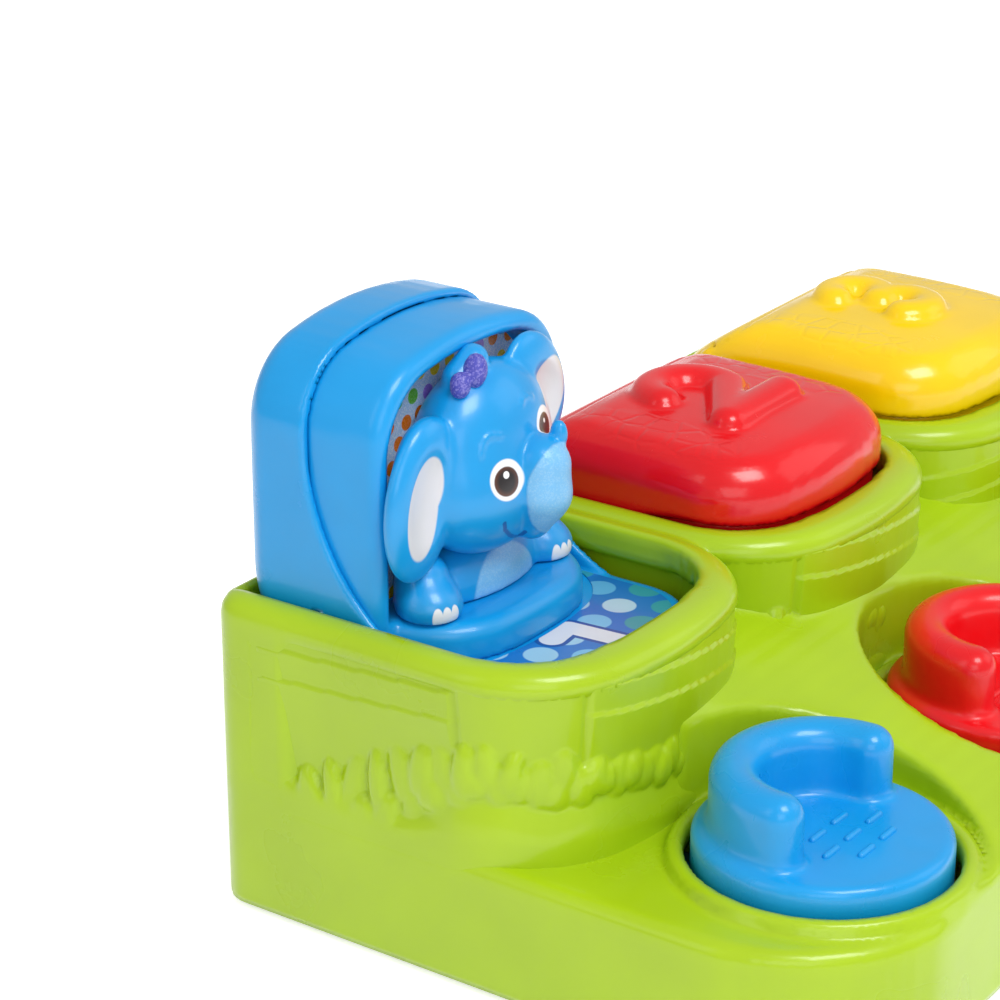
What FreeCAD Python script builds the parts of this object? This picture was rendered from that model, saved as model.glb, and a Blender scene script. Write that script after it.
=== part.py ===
import FreeCAD, Part
import os
import Sketcher
from FreeCAD import Placement, Rotation, Vector

# Three-bay pop-up animal toy, in millimetres.
#
# Frame: the origin is the middle of the object's box on the surface that it stands on. +X runs along
# the row of bays to the child's right, +Y points to the back and +Z up. Each lid is an L-shaped
# carriage drawn about its own hinge axis, standing open: there +Y points to the back, +Z up, and the
# axis is X. A closed lid is the same carriage turned 90 degrees about that axis.

DIMENSIONS = {
    # row of bays
    "bay_pitch": 100.0,
    # housing
    "rim_height": 87.0,
    "base_depth": 188.0,
    "housing_wall": 2.6,
    "edge_lift": 1.2,
    "rear_corner": 8.0,
    "apron_corner": 45.0,
    "apron_height": 36.0,
    "slope_low": 37.0,
    "slope_high": 72.0,
    "side_rim": 8.5,
    "front_rim": 11.0,
    "tub_corner": 34.0,
    "rim_round": 5.0,
    "skirt_drop": 8.0,
    "skirt_wall": 2.2,
    # hinge of a lid
    "hinge_drop": 3.5,
    "pin_radius": 1.5,
    "pin_grip": 4.0,
    "pin_play": 0.05,
    "block_reach": 6.5,
    "drum_gap": 1.4,
    # lid carriage
    "lid_half": 41.0,
    "lid_length": 70.6,
    "lid_crown": 110.0,
    "lid_corner": 22.0,
    "lid_gap": 1.5,
    "lid_wall": 2.2,
    "seam_back": 2.75,
    "cap_depth": 20.0,
    "cap_round": 6.0,
    "floor_drop": 8.5,
    "floor_thick": 3.0,
    "floor_reach": 68.2,
    "floor_corner": 20.0,
    "cheek_radius": 60.0,
    "cheek_top": 47.0,
    "cheek_reach": 34.5,
    "numeral_rise": 3.5,
    "numeral_stroke": 12.0,
    "numeral_tall": 50.0,
    "numeral_wide": 44.0,
    "numeral_up": 33.0,
    # arch frame inside the lid
    "frame_step": 2.4,
    "frame_depth": 22.0,
    "frame_band": 3.4,
    "frame_round": 2.6,
    "frame_recess": 10.0,
    "frame_panel": 2.5,
    "frame_fit": 0.3,
    "ledge_reach": 41.0,
    "ledge_top": 1.0,
    "ledge_corner": 24.0,
    "ledge_round": 4.0,
    "sticker_thick": 0.3,
    "sticker_margin": 1.0,
    # animal
    "head_up": 37.0,
    "head_wide": 23.5,
    "head_deep": 26.0,
    "head_round": 15.5,
    "ear_wide": 10.0,
    "ear_deep": 3.4,
    "ear_tall": 17.0,
    "ear_left": 29.0,
    "ear_left_up": 31.0,
    "ear_right": 23.0,
    "ear_right_up": 44.0,
    "ear_left_lean": -12.0,
    "ear_right_lean": 28.0,
    "trunk_radius": 7.5,
    "muzzle_radius": 10.5,
    "body_wide": 21.0,
    "body_deep": 13.0,
    "leg_radius": 8.5,
    "leg_spread": 22.5,
    # activator pads
    "pad_back": 55.0,
    "pad_top": 45.0,
    "pad_radius": 32.0,
    "pad_skirt": 13.0,
    "pad_wall": 2.4,
    "pad_gap": 1.6,
    "ridge_radius": 28.0,
    "ridge_thick": 12.0,
    "ridge_height": 18.0,
    "rib_length": 7.0,
    "rib_height": 1.0,
    "dish_gap": 6.4,
    "lip_width": 4.4,
    "lip_height": 3.5,
    "pad_pivot_back": 21.0,
    "pad_pivot_drop": 7.8,
    "pad_pin_radius": 2.0,
    "pad_lug_inner": 7.0,
    "pad_lug_thick": 3.0,
    "post_gap": 0.6,
    "post_thick": 3.0,
    "post_half": 4.0,
    "arm_half": 4.0,
    "arm_thick": 4.5,
    "arm_top": 24.0,
    "arm_tip": 14.0,
    "pad_spring_radius": 6.0,
    "pad_spring_wire": 1.2,
    "pad_spring_back": 12.0,
    # latch levers
    "latch_pivot_y": 48.0,
    "latch_pivot_up": 11.0,
    "latch_pin_radius": 1.5,
    "latch_half": 4.0,
    "latch_thick": 3.0,
    "latch_boss": 3.6,
    "latch_gap": 0.6,
    "nose_gap": 0.4,
    "nose_thick": 3.0,
    "nose_stand": 0.6,
    "latch_spring_radius": 2.5,
    "latch_spring_wire": 0.6,
    "latch_spring_back": 15.0,
    # torsion spring of a lid
    "coil_radius": 4.2,
    "coil_wire": 0.8,
    "coil_cup": 5.4,
    "coil_depth": 4.0,
    # bottom cover, screws and feet
    "cover_lift": 1.6,
    "cover_thick": 3.0,
    "cover_gap": 0.3,
    "boss_radius": 3.4,
    "screw_radius": 1.25,
    "screw_play": 0.05,
    "screw_head": 2.6,
    "screw_head_tall": 1.6,
    "screw_reach": 12.0,
    "boss_side": 145.3,
    "boss_side_y": 44.0,
    "boss_rear_y": 66.0,
    "boss_front_y": -76.0,
    "boss_corner_x": 134.0,
    "boss_corner_y": -76.0,
    "foot_radius": 7.0,
    "foot_thick": 2.2,
    "foot_side": 128.0,
    "foot_rear": 72.0,
    "foot_front": -58.0,
    "foot_inset": 12.0,
    # lid screws
    "lid_screw_radius": 1.0,
    "lid_screw_head": 2.0,
    "lid_screw_side": 30.0,
    "lid_screw_low": 16.0,
    "lid_screw_high": 50.0,
}

BAYS = [
    ("elephant", 0),
    ("bear", 90),
    ("lion", 90),
]

ALONG_X = Rotation(Vector(1, 1, 1), 120)
FACING_FRONT = Rotation(Vector(1, 0, 0), 90)
TURNED_ROUND = Rotation(Vector(0, 0, 1), 180)
FACING_BACK = Rotation(Vector(1, 0, 0), -90)
UPRIGHT = Rotation()
TINY_VOLUME = 0.01
LEFT_HALF = "left half turn"
RIGHT_HALF = "right half turn"


class Size:
    """A length or angle from the sheet: its number, and the formula that keeps a feature bound to it."""

    def __init__(self, number, formula):
        self.number = number
        self.formula = formula

    def __add__(self, other):
        other = as_size(other)
        return Size(self.number + other.number, f"({self.formula} + {other.formula})")

    def __radd__(self, other):
        return as_size(other) + self

    def __sub__(self, other):
        other = as_size(other)
        return Size(self.number - other.number, f"({self.formula} - {other.formula})")

    def __rsub__(self, other):
        return as_size(other) - self

    def __mul__(self, other):
        other = as_size(other)
        return Size(self.number * other.number, f"({self.formula} * {other.formula})")

    def __rmul__(self, other):
        return as_size(other) * self

    def __truediv__(self, other):
        other = as_size(other)
        return Size(self.number / other.number, f"({self.formula} / {other.formula})")

    def __neg__(self):
        return Size(-self.number, f"(0 - {self.formula})")

    def root(self):
        return Size(self.number ** 0.5, f"sqrt({self.formula})")


def as_size(value):
    """A plain number as a Size."""
    if isinstance(value, Size):
        return value
    return Size(float(value), repr(float(value)))


class Sheet:
    """The driving dimensions, each an attribute of this object under its alias."""

    def __init__(self, document, dimensions):
        sheet = document.addObject("Spreadsheet::Sheet", "Dims")
        for row, (alias, value) in enumerate(dimensions.items(), start=1):
            sheet.set(f"A{row}", alias)
            sheet.set(f"B{row}", str(value))
            sheet.setAlias(f"B{row}", alias)
        document.recompute()
        for alias in dimensions:
            setattr(self, alias, Size(float(sheet.get(alias)), f"Dims.{alias}"))


doc = FreeCAD.newDocument("PopUpToy")
dim = Sheet(doc, DIMENSIONS)
sub_parts = []


# ---------------------------------------------------------------- helpers

def bind(thing, prop, size):
    """Set a property and keep it bound to the sheet."""
    thing.setExpression(prop, as_size(size).formula)


def place(thing, x=0, y=0, z=0, turn=UPRIGHT):
    """Put an object at a place that stays bound to the sheet."""
    spot = [as_size(value) for value in (x, y, z)]
    thing.Placement = Placement(Vector(*[size.number for size in spot]), turn)
    for axis, size in zip("xyz", spot):
        bind(thing, f"Placement.Base.{axis}", size)
    return thing


def hold(sketch, kind, element, point, size):
    """Fix one coordinate of a sketch's point, measured from its origin."""
    number = sketch.addConstraint(Sketcher.Constraint(kind, -1, 1, element, point, size.number))
    sketch.renameConstraint(number, f"{kind}{number}")
    bind(sketch, f"Constraints.{kind}{number}", size)


def hold_radius(sketch, element, radius):
    """Fix the radius of a sketch's arc or circle."""
    number = sketch.addConstraint(Sketcher.Constraint("Radius", element, radius.number))
    sketch.renameConstraint(number, f"radius{number}")
    bind(sketch, f"Constraints.radius{number}", radius)


def draw(sketch, *outlines):
    """Fill a sketch with Rings and closed outlines of (x, y, turn) corners, each bound to the sheet."""
    for outline in outlines:
        if isinstance(outline, Ring):
            draw_ring(sketch, outline)
        else:
            draw_corners(sketch, outline)


def draw_ring(sketch, ring):
    """Add a circle to a sketch."""
    middle = Vector(ring.x.number, ring.y.number, 0)
    element = sketch.addGeometry(Part.Circle(middle, Vector(0, 0, 1), ring.radius.number), False)
    hold(sketch, "DistanceX", element, 3, ring.x)
    hold(sketch, "DistanceY", element, 3, ring.y)
    hold_radius(sketch, element, ring.radius)


def draw_corners(sketch, outline):
    """Add a closed outline to a sketch.

    The turn is how the outline goes on from a corner to the next one: None is a straight line, a size
    is an arc of that radius, turning left if positive and right if negative, and LEFT_HALF and
    RIGHT_HALF are half turns.
    """
    corners = [(as_size(x), as_size(y), turn) for x, y, turn in outline]
    elements = []
    ends = []
    middles = []
    for index, (x, y, turn) in enumerate(corners):
        far_x, far_y, _ = corners[(index + 1) % len(corners)]
        start = Vector(x.number, y.number, 0)
        end = Vector(far_x.number, far_y.number, 0)
        if turn is None:
            elements.append(sketch.addGeometry(Part.LineSegment(start, end), False))
            ends.append((1, 2))
            continue
        chord = end - start
        half_turn = turn in (LEFT_HALF, RIGHT_HALF)
        right = turn == RIGHT_HALF if half_turn else as_size(turn).number < 0
        reach = chord.Length / 2 if half_turn else abs(as_size(turn).number)
        height = max(reach ** 2 - chord.Length ** 2 / 4, 0.0) ** 0.5
        inward = Vector(-chord.y, chord.x, 0).normalize() * (-1 if right else 1)
        middle = start + chord * 0.5 + inward * (height - reach)
        elements.append(sketch.addGeometry(Part.Arc(start, middle, end), False))
        ends.append((2, 1) if right else (1, 2))
        if not half_turn:
            middles.append((None, elements[-1], -as_size(turn) if right else as_size(turn)))
        elif abs(chord.x) > abs(chord.y):
            middles.append(("DistanceY", elements[-1], (y + far_y) / 2))
        else:
            middles.append(("DistanceX", elements[-1], (x + far_x) / 2))
    for index, (_, finish) in enumerate(ends):
        following = (index + 1) % len(ends)
        sketch.addConstraint(Sketcher.Constraint("Coincident", elements[index], finish,
                                                 elements[following], ends[following][0]))
    for index, (x, y, _) in enumerate(corners):
        hold(sketch, "DistanceX", elements[index], ends[index][0], x)
        hold(sketch, "DistanceY", elements[index], ends[index][0], y)
    for kind, element, size in middles:
        if kind:
            hold(sketch, kind, element, 3, size)
        else:
            hold_radius(sketch, element, size)


def prism(name, outline, length, x=0, y=0, z=0, turn=UPRIGHT):
    """A straight solid on an outline, along the normal that the turn gives it."""
    sketch = doc.addObject("Sketcher::SketchObject", name + "_outline")
    draw(sketch, outline)
    place(sketch, x, y, z, turn)
    solid = doc.addObject("Part::Extrusion", name)
    solid.Base = sketch
    solid.DirMode = "Normal"
    solid.Solid = True
    bind(solid, "LengthFwd", length)
    return solid


def box(name, x0, x1, y0, y1, z0, z1):
    """A box between two corners."""
    solid = doc.addObject("Part::Box", name)
    bind(solid, "Length", as_size(x1) - x0)
    bind(solid, "Width", as_size(y1) - y0)
    bind(solid, "Height", as_size(z1) - z0)
    return place(solid, x0, y0, z0)


def cylinder(name, radius, length, x=0, y=0, z=0, turn=UPRIGHT):
    """A round bar whose axis starts at a point: upward, or along X when turned with ALONG_X."""
    solid = doc.addObject("Part::Cylinder", name)
    bind(solid, "Radius", radius)
    bind(solid, "Height", length)
    return place(solid, x, y, z, turn)


def fuse(name, *solids):
    """Several solids joined into one."""
    joined = doc.addObject("Part::MultiFuse", name)
    joined.Shapes = list(solids)
    joined.Refine = False
    return joined


def cut(name, base, *tools):
    """A solid with others taken out of it."""
    cutter = tools[0] if len(tools) == 1 else fuse(name + "_tools", *tools)
    less = doc.addObject("Part::Cut", name)
    less.Base = base
    less.Tool = cutter
    less.Refine = False
    return less


def common(name, one, other):
    """What two solids share."""
    shared = doc.addObject("Part::Common", name)
    shared.Base = one
    shared.Tool = other
    return shared


def rounded(name, base, radius, chosen):
    """A solid with the chosen edges rounded."""
    doc.recompute([base])
    edges = [number for number, edge in enumerate(base.Shape.Edges, start=1) if chosen(edge)]
    if not edges:
        raise RuntimeError(f"{name}: no edge to round")
    solid = doc.addObject("Part::Fillet", name)
    solid.Base = base
    solid.Edges = [(number, radius.number, radius.number) for number in edges]
    return solid


def sub_part(node, solid):
    """Name a finished piece, which becomes a node of its own."""
    solid.Label = node
    sub_parts.append(solid)
    return solid


def origin_plane(body, role):
    """One of a body's own origin planes."""
    return next(plane for plane in body.Origin.OriginFeatures if plane.Role == role)


def feature(body, kind, name, outlines, role, length, start=0, midplane=False, reverse=False):
    """A Pad or Pocket of a body, on outlines that stand off one of its origin planes."""
    sketch = body.newObject("Sketcher::SketchObject", name + "_outline")
    sketch.AttachmentSupport = [(origin_plane(body, role), "")]
    sketch.MapMode = "FlatFace"
    draw(sketch, *(outlines if isinstance(outlines, Group) else [outlines]))
    bind(sketch, "AttachmentOffset.Base.z", start)
    before = body.Tip.Shape.Volume if body.Tip else 0.0
    made = body.newObject(f"PartDesign::{kind}", name)
    made.Profile = sketch
    made.SideType = "Symmetric" if midplane else "One side"
    made.Reversed = reverse
    bind(made, "Length", length)
    doc.recompute([body])
    grown = made.Shape.Volume - before
    if (grown if kind == "Pad" else -grown) < TINY_VOLUME:
        raise RuntimeError(f"{name}: the {kind} changes nothing")
    return made


def round_edges(body, name, radius, chosen):
    """A Fillet of a body on the chosen edges."""
    tip = body.Tip
    edges = [f"Edge{number}" for number, edge in enumerate(tip.Shape.Edges, start=1) if chosen(edge)]
    if not edges:
        raise RuntimeError(f"{name}: no edge to round")
    fillet = body.newObject("PartDesign::Fillet", name)
    fillet.Base = (tip, edges)
    bind(fillet, "Radius", radius)
    doc.recompute([body])
    return fillet


def rectangle(x0, x1, y0, y1):
    """The outline of a rectangle."""
    return [(x0, y0, None), (x1, y0, None), (x1, y1, None), (x0, y1, None)]


class Group(list):
    """Several outlines drawn in one sketch."""


class Ring:
    """The outline of a circle."""

    def __init__(self, x, y, radius):
        self.x = as_size(x)
        self.y = as_size(y)
        self.radius = as_size(radius)


class Arch:
    """The outline shared by a tub, its opening, a lid, its frame and its sticker.

    It is measured from the hinge axis: straight sides, a crowned far end and rounded corners.
    """

    def __init__(self, half, reach, crown, corner, heel=0):
        self.half = half
        self.reach = reach
        self.crown = crown
        self.corner = corner
        self.heel = heel

    def inset(self, gap):
        """The same arch, smaller all round by a gap."""
        heel = self.heel - gap if self.heel else 0
        return Arch(self.half - gap, self.reach - gap, self.crown - gap, self.corner - gap, heel)

    def shoulder(self):
        """How far out the straight sides end."""
        run = self.crown - self.corner
        side = self.half - self.corner
        return self.reach - self.crown + (run * run - side * side).root()

    def outline(self, back):
        """The closed outline, from its back edge to its crowned end."""
        rise = self.shoulder() - self.reach + self.crown
        share = self.crown / (self.crown - self.corner)
        far_x = (self.half - self.corner) * share
        far_y = self.reach - self.crown + rise * share
        sides = [
            (self.half, self.shoulder(), self.corner),
            (far_x, far_y, self.crown),
            (-far_x, far_y, self.corner),
            (-self.half, self.shoulder(), None),
        ]
        back = as_size(back)
        if not self.heel:
            return [(self.half, back, None)] + sides + [(-self.half, back, None)]
        near = [(self.half - self.heel, back, self.heel), (self.half, back + self.heel, None)]
        far = [(-self.half, back + self.heel, self.heel), (-self.half + self.heel, back, None)]
        return near + sides + far


# ---------------------------------------------------------------- places worked out from the sheet

base_back = dim.base_depth / 2
drum_radius = dim.seam_back + dim.cap_depth
hinge_y = base_back - dim.housing_wall - dim.drum_gap - drum_radius
hinge_z = dim.rim_height - dim.hinge_drop
pad_y = -dim.pad_back
pivot_y = pad_y + dim.pad_pivot_back
pivot_z = dim.pad_top - dim.pad_pivot_drop
cover_top = dim.cover_lift + dim.cover_thick
base_half = dim.bay_pitch * (len(BAYS) - 1) / 2 + dim.lid_half + dim.lid_gap + dim.side_rim
sweep_floor = hinge_z - (dim.floor_reach * dim.floor_reach
                         + (dim.floor_drop + dim.floor_thick) * (dim.floor_drop + dim.floor_thick)).root()

lid_arch = Arch(dim.lid_half, dim.lid_length, dim.lid_crown, dim.lid_corner)
opening_arch = lid_arch.inset(-dim.lid_gap)
tub_arch = Arch(opening_arch.half + dim.side_rim, opening_arch.reach + dim.front_rim,
                dim.lid_crown + dim.front_rim, dim.tub_corner, dim.rear_corner)
frame_arch = lid_arch.inset(dim.frame_step)


def bay_x(bay):
    """The middle of a bay along the row."""
    return dim.bay_pitch * (bay - (len(BAYS) - 1) / 2)


# ---------------------------------------------------------------- housing

def base_outline(gap):
    """The footprint of the housing, smaller all round by a gap."""
    side = base_half - gap
    back = base_back - gap
    front = dim.apron_corner - gap
    rear = dim.rear_corner - gap
    return [
        (-side + front, -back, None), (side - front, -back, front),
        (side, -back + front, None), (side, back - rear, rear),
        (side - rear, back, None), (-side + rear, back, rear),
        (-side, back - rear, None), (-side, -back + front, front),
    ]


def slope_outline(drop):
    """The side view of the raised apron between the tubs, lowered by a wall."""
    notch = hinge_y - tub_arch.shoulder()
    low = dim.slope_low - drop
    high = dim.slope_high - drop
    bottom = dim.apron_height - dim.housing_wall
    return [(-base_back + drop, bottom, None), (notch, bottom, None), (notch, high, None),
            (-base_back + drop, low, None)]


def top_housing():
    """The moulded shell: three tubs over a sloping apron, open below."""
    wall = dim.housing_wall
    lift = dim.edge_lift
    top = dim.rim_height
    outer = [prism("base", base_outline(0), dim.apron_height - lift, z=lift)]
    hollow = [prism("base_hollow", base_outline(wall), dim.apron_height - wall)]
    tubs = []
    dishes = []
    dish_walls = []
    lips = []
    late = []
    fittings = []
    for bay in range(len(BAYS)):
        x = bay_x(bay)
        tub = prism(f"tub{bay}", tub_arch.outline(hinge_y - base_back), top - lift, x, hinge_y, lift,
                    TURNED_ROUND)
        tubs.append(rounded(f"tub_rim{bay}", tub, dim.rim_round,
                            lambda edge: edge.BoundBox.ZMin > top.number - 0.01))
        hollow.append(prism(f"tub_hollow{bay}", tub_arch.inset(wall).outline(hinge_y - base_back + wall),
                            top - wall, x, hinge_y, 0, TURNED_ROUND))
        well = dim.pad_radius + dim.pad_gap
        dish = well + dim.dish_gap
        dishes.append(cylinder(f"dish{bay}", dish, top, x, pad_y, dim.apron_height))
        dish_walls.append(cylinder(f"dish_wall{bay}", dish + wall, top, x, pad_y, 0))
        lip = cylinder(f"lip{bay}", well + dim.lip_width, dim.lip_height, x, pad_y, dim.apron_height)
        lips.append(lip)
        late.append(cylinder(f"well{bay}", well, top, x, pad_y, 0))
        skirt = opening_arch.inset(-dim.skirt_wall).outline(hinge_y - base_back + wall / 2)
        fittings.append(prism(f"skirt{bay}", skirt, dim.skirt_drop - wall / 2, x, hinge_y,
                              top - dim.skirt_drop, TURNED_ROUND))
        late.append(prism(f"opening{bay}", opening_arch.outline(hinge_y - base_back + wall), top, x, hinge_y,
                          top - dim.skirt_drop - 1, TURNED_ROUND))
        for side in (-1, 1):
            inner = opening_arch.half
            outer_x = tub_arch.half - wall / 2
            near = x + (inner if side > 0 else -outer_x)
            far = x + (outer_x if side > 0 else -inner)
            fittings.append(box(f"hinge_block{bay}{side > 0}", near, far, hinge_y - dim.block_reach,
                                hinge_y + dim.block_reach, hinge_z - dim.block_reach, top - wall / 2))
        bore = inner + dim.pin_grip + dim.frame_fit
        late.append(cylinder(f"pin_bore{bay}", dim.pin_radius + dim.pin_play, bore * 2, x - bore, hinge_y,
                             hinge_z, ALONG_X))
        tang = cylinder(f"tang_hole{bay}", dim.coil_wire / 2 + dim.pin_play, dim.pin_grip, x + inner,
                        hinge_y, hinge_z - dim.coil_radius, ALONG_X)
        late.append(tang)
    outer_bays = bay_x(len(BAYS) - 1)
    slope = prism("slope", slope_outline(0), outer_bays * 2, x=-outer_bays, turn=ALONG_X)
    slope_in = prism("slope_hollow", slope_outline(wall), outer_bays * 2, x=-outer_bays, turn=ALONG_X)
    hollow.append(cut("slope_room", slope_in, *tubs, *dish_walls))
    back = box("back_wall", -base_half + dim.rear_corner, base_half - dim.rear_corner, base_back - wall,
               base_back, dim.apron_height, top - dim.rim_round)
    outer.append(cut("slope_dished", slope, *dishes))
    shell = cut("shell", fuse("outer", *outer, *tubs, *lips), *hollow)
    bosses = []
    holes = []
    for number, (x, y, height) in enumerate(screw_places()):
        bosses.append(cylinder(f"boss{number}", dim.boss_radius, height - cover_top, x, y, cover_top))
        holes.append(cylinder(f"boss_hole{number}", dim.screw_radius + dim.screw_play,
                              dim.screw_reach + 1, x, y, cover_top - 1))
    full = fuse("housing_full", shell, back, *fittings, *bosses)
    return sub_part("top_housing", cut("housing", full, *late, *holes))


def slope_height(y):
    """The height of the sloping apron at a distance from the middle."""
    notch = hinge_y - tub_arch.shoulder()
    return dim.slope_low + (dim.slope_high - dim.slope_low) * (y + base_back) / (notch + base_back)


def screw_places():
    """Where the case screws stand, and how high each boss reaches."""
    flat = dim.apron_height - dim.housing_wall / 2
    ramp = slope_height(dim.boss_front_y) - dim.housing_wall / 2
    tall = dim.rim_height - dim.housing_wall / 2
    between = dim.bay_pitch / 2
    places = []
    for side in (-1, 1):
        places.append((side * dim.boss_side, dim.boss_side_y, tall))
        places.append((side * between, dim.boss_rear_y, tall))
        places.append((side * between, dim.boss_front_y, ramp))
        places.append((side * dim.boss_corner_x, dim.boss_corner_y, flat))
    return places


def foot_places():
    """Where the rubber feet stand."""
    middle = dim.bay_pitch / 2
    inner = middle - dim.foot_inset
    return [(x, y) for x in (-dim.foot_side, -inner, inner, dim.foot_side)
            for y in (dim.foot_front, dim.foot_rear)]


def post_pair(x, y, near, thick):
    """The outlines of two posts, one each side of a lever."""
    far = near + thick
    half = dim.post_half
    return [rectangle(x - far, x - near, y - half, y + half), rectangle(x + near, x + far, y - half, y + half)]


def bottom_cover():
    """The flat moulding that closes the housing and carries the levers' posts."""
    body = doc.addObject("PartDesign::Body", "Cover")
    thick = dim.cover_thick
    feature(body, "Pad", "plate", base_outline(dim.housing_wall + dim.cover_gap), "XY_Plane", thick,
            dim.cover_lift)
    posts = Group()
    latch_posts = Group()
    pegs = Group()
    for bay in range(len(BAYS)):
        x = bay_x(bay)
        posts += post_pair(x, pivot_y, dim.pad_lug_inner + dim.pad_lug_thick + dim.post_gap, dim.post_thick)
        latch_posts += post_pair(x, dim.latch_pivot_y, dim.latch_half + dim.post_gap, dim.latch_thick)
        pegs.append(Ring(x, pad_y - dim.pad_spring_back, dim.pad_spring_radius - dim.pad_spring_wire))
    feature(body, "Pad", "pad_posts", posts, "XY_Plane", pivot_z + dim.post_half - cover_top, cover_top)
    feature(body, "Pad", "latch_posts", latch_posts, "XY_Plane",
            dim.latch_pivot_up + dim.latch_boss - cover_top, cover_top)
    feature(body, "Pad", "spring_pegs", pegs, "XY_Plane", dim.pad_spring_radius, cover_top)
    bores = Group([Ring(pivot_y, pivot_z, dim.pad_pin_radius + dim.pin_play),
                   Ring(dim.latch_pivot_y, dim.latch_pivot_up, dim.latch_pin_radius + dim.pin_play)])
    feature(body, "Pocket", "post_bores", bores, "YZ_Plane", base_half * 2, 0, midplane=True)
    screw_holes = Group(Ring(x, y, dim.screw_radius + dim.screw_play * 2) for x, y, _ in screw_places())
    head_seats = Group(Ring(x, y, dim.screw_head + dim.screw_play * 2) for x, y, _ in screw_places())
    foot_seats = Group(Ring(x, y, dim.foot_radius + dim.screw_play) for x, y in foot_places())
    feature(body, "Pocket", "screw_holes", screw_holes, "XY_Plane", thick, cover_top)
    feature(body, "Pocket", "head_seats", head_seats, "XY_Plane", dim.screw_head_tall, dim.cover_lift,
            reverse=True)
    feature(body, "Pocket", "foot_seats", foot_seats, "XY_Plane", dim.foot_thick - dim.cover_lift,
            dim.cover_lift, reverse=True)
    return sub_part("bottom_cover", body)


def case_screws():
    """The self-tapping screws that hold the cover."""
    screws = []
    for number, (x, y, _) in enumerate(screw_places()):
        head = cylinder(f"case_head{number}", dim.screw_head, dim.screw_head_tall - dim.screw_play, x, y,
                        dim.cover_lift)
        slot = box(f"case_slot{number}", x - dim.screw_head * 2 / 3, x + dim.screw_head * 2 / 3,
                   y - dim.coil_wire / 2, y + dim.coil_wire / 2, 0, dim.cover_lift + dim.coil_wire)
        shank = cylinder(f"case_shank{number}", dim.screw_radius,
                         cover_top + dim.screw_reach - dim.cover_lift, x, y, dim.cover_lift)
        screws.append(cut(f"case_screw{number}", fuse(f"case_blank{number}", head, shank), slot))
    return sub_part("case_screws", group("case_screw_group", screws))


def rubber_feet():
    """The soft discs that the toy stands on."""
    feet = []
    for number, (x, y) in enumerate(foot_places()):
        disc = cylinder(f"foot_disc{number}", dim.foot_radius, dim.foot_thick - dim.screw_play, x, y)
        feet.append(rounded(f"foot{number}", disc, dim.screw_play * 12,
                            lambda edge: edge.BoundBox.ZMax < 0.01))
    return sub_part("rubber_feet", group("feet_group", feet))


def group(name, solids):
    """Several like pieces that stay separate solids in one node."""
    doc.recompute(solids)
    together = doc.addObject("Part::Compound", name)
    together.Links = solids
    return together


# ---------------------------------------------------------------- lid carriage

def carried(bay, node, solid):
    """Put a piece drawn about the hinge axis into its bay, open or closed as the bay stands."""
    place(solid, bay_x(bay), hinge_y, hinge_z, Rotation(Vector(1, 0, 0), BAYS[bay][1]))
    return sub_part(f"{node}_{bay + 1}", solid)


def floor_arch():
    """The plan of the carriage's floor."""
    return Arch(dim.lid_half, dim.floor_reach, dim.lid_crown, dim.floor_corner)


def on_circle(x, y, radius, angle):
    """A point of a circle."""
    spoke = Rotation(Vector(0, 0, 1), angle).multVec(Vector(radius, 0, 0))
    return Vector(x, y, 0) + spoke


def arc(x, y, radius, start, end):
    """An arc of a stroke, between two angles."""
    points = [on_circle(x, y, radius, angle) for angle in (start, (start + end) / 2, end)]
    return Part.Arc(*points).toShape()


def lines(*corners):
    """The straight runs of a stroke."""
    return [Part.LineSegment(start, end).toShape() for start, end in zip(corners, corners[1:])]


def numeral(bay):
    """The raised numeral on the back of the cap, read when the lid is closed: 1, 2 or 3."""
    half = dim.numeral_stroke.number / 2
    across = dim.numeral_wide.number / 2 - half
    tall = dim.numeral_tall.number / 2 - half
    if bay == 0:
        flag = Vector(-across * 0.8, tall * 0.55, 0)
        stroke = lines(flag, Vector(0, tall, 0), Vector(0, -tall, 0))
    elif bay == 1:
        bend = across * 0.8
        hook = arc(0, tall - bend, bend, 165, -30)
        tail = on_circle(0, tall - bend, bend, -30)
        stroke = [hook] + lines(tail, Vector(-across, -tall, 0), Vector(across, -tall, 0))
    else:
        bowl = tall / 2
        stroke = [arc(0, bowl, bowl, 150, -90), arc(0, -bowl, bowl, 90, -150)]
    outline = Part.Wire(stroke).makeOffset2D(half, 0, False, False)
    depth = dim.numeral_rise.number + dim.lid_wall.number / 2
    piece = doc.addObject("Part::Feature", f"numeral{bay}")
    piece.Shape = Part.Face(outline).extrude(Vector(0, 0, depth))
    outward = Rotation(Vector(1, 0, 0), Vector(0, 0, -1), Vector(0, 1, 0), "ZXY")
    start = drum_radius - dim.lid_wall / 2
    piece.Placement = Placement(Vector(0, start.number, dim.numeral_up.number), outward)
    return piece


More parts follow.
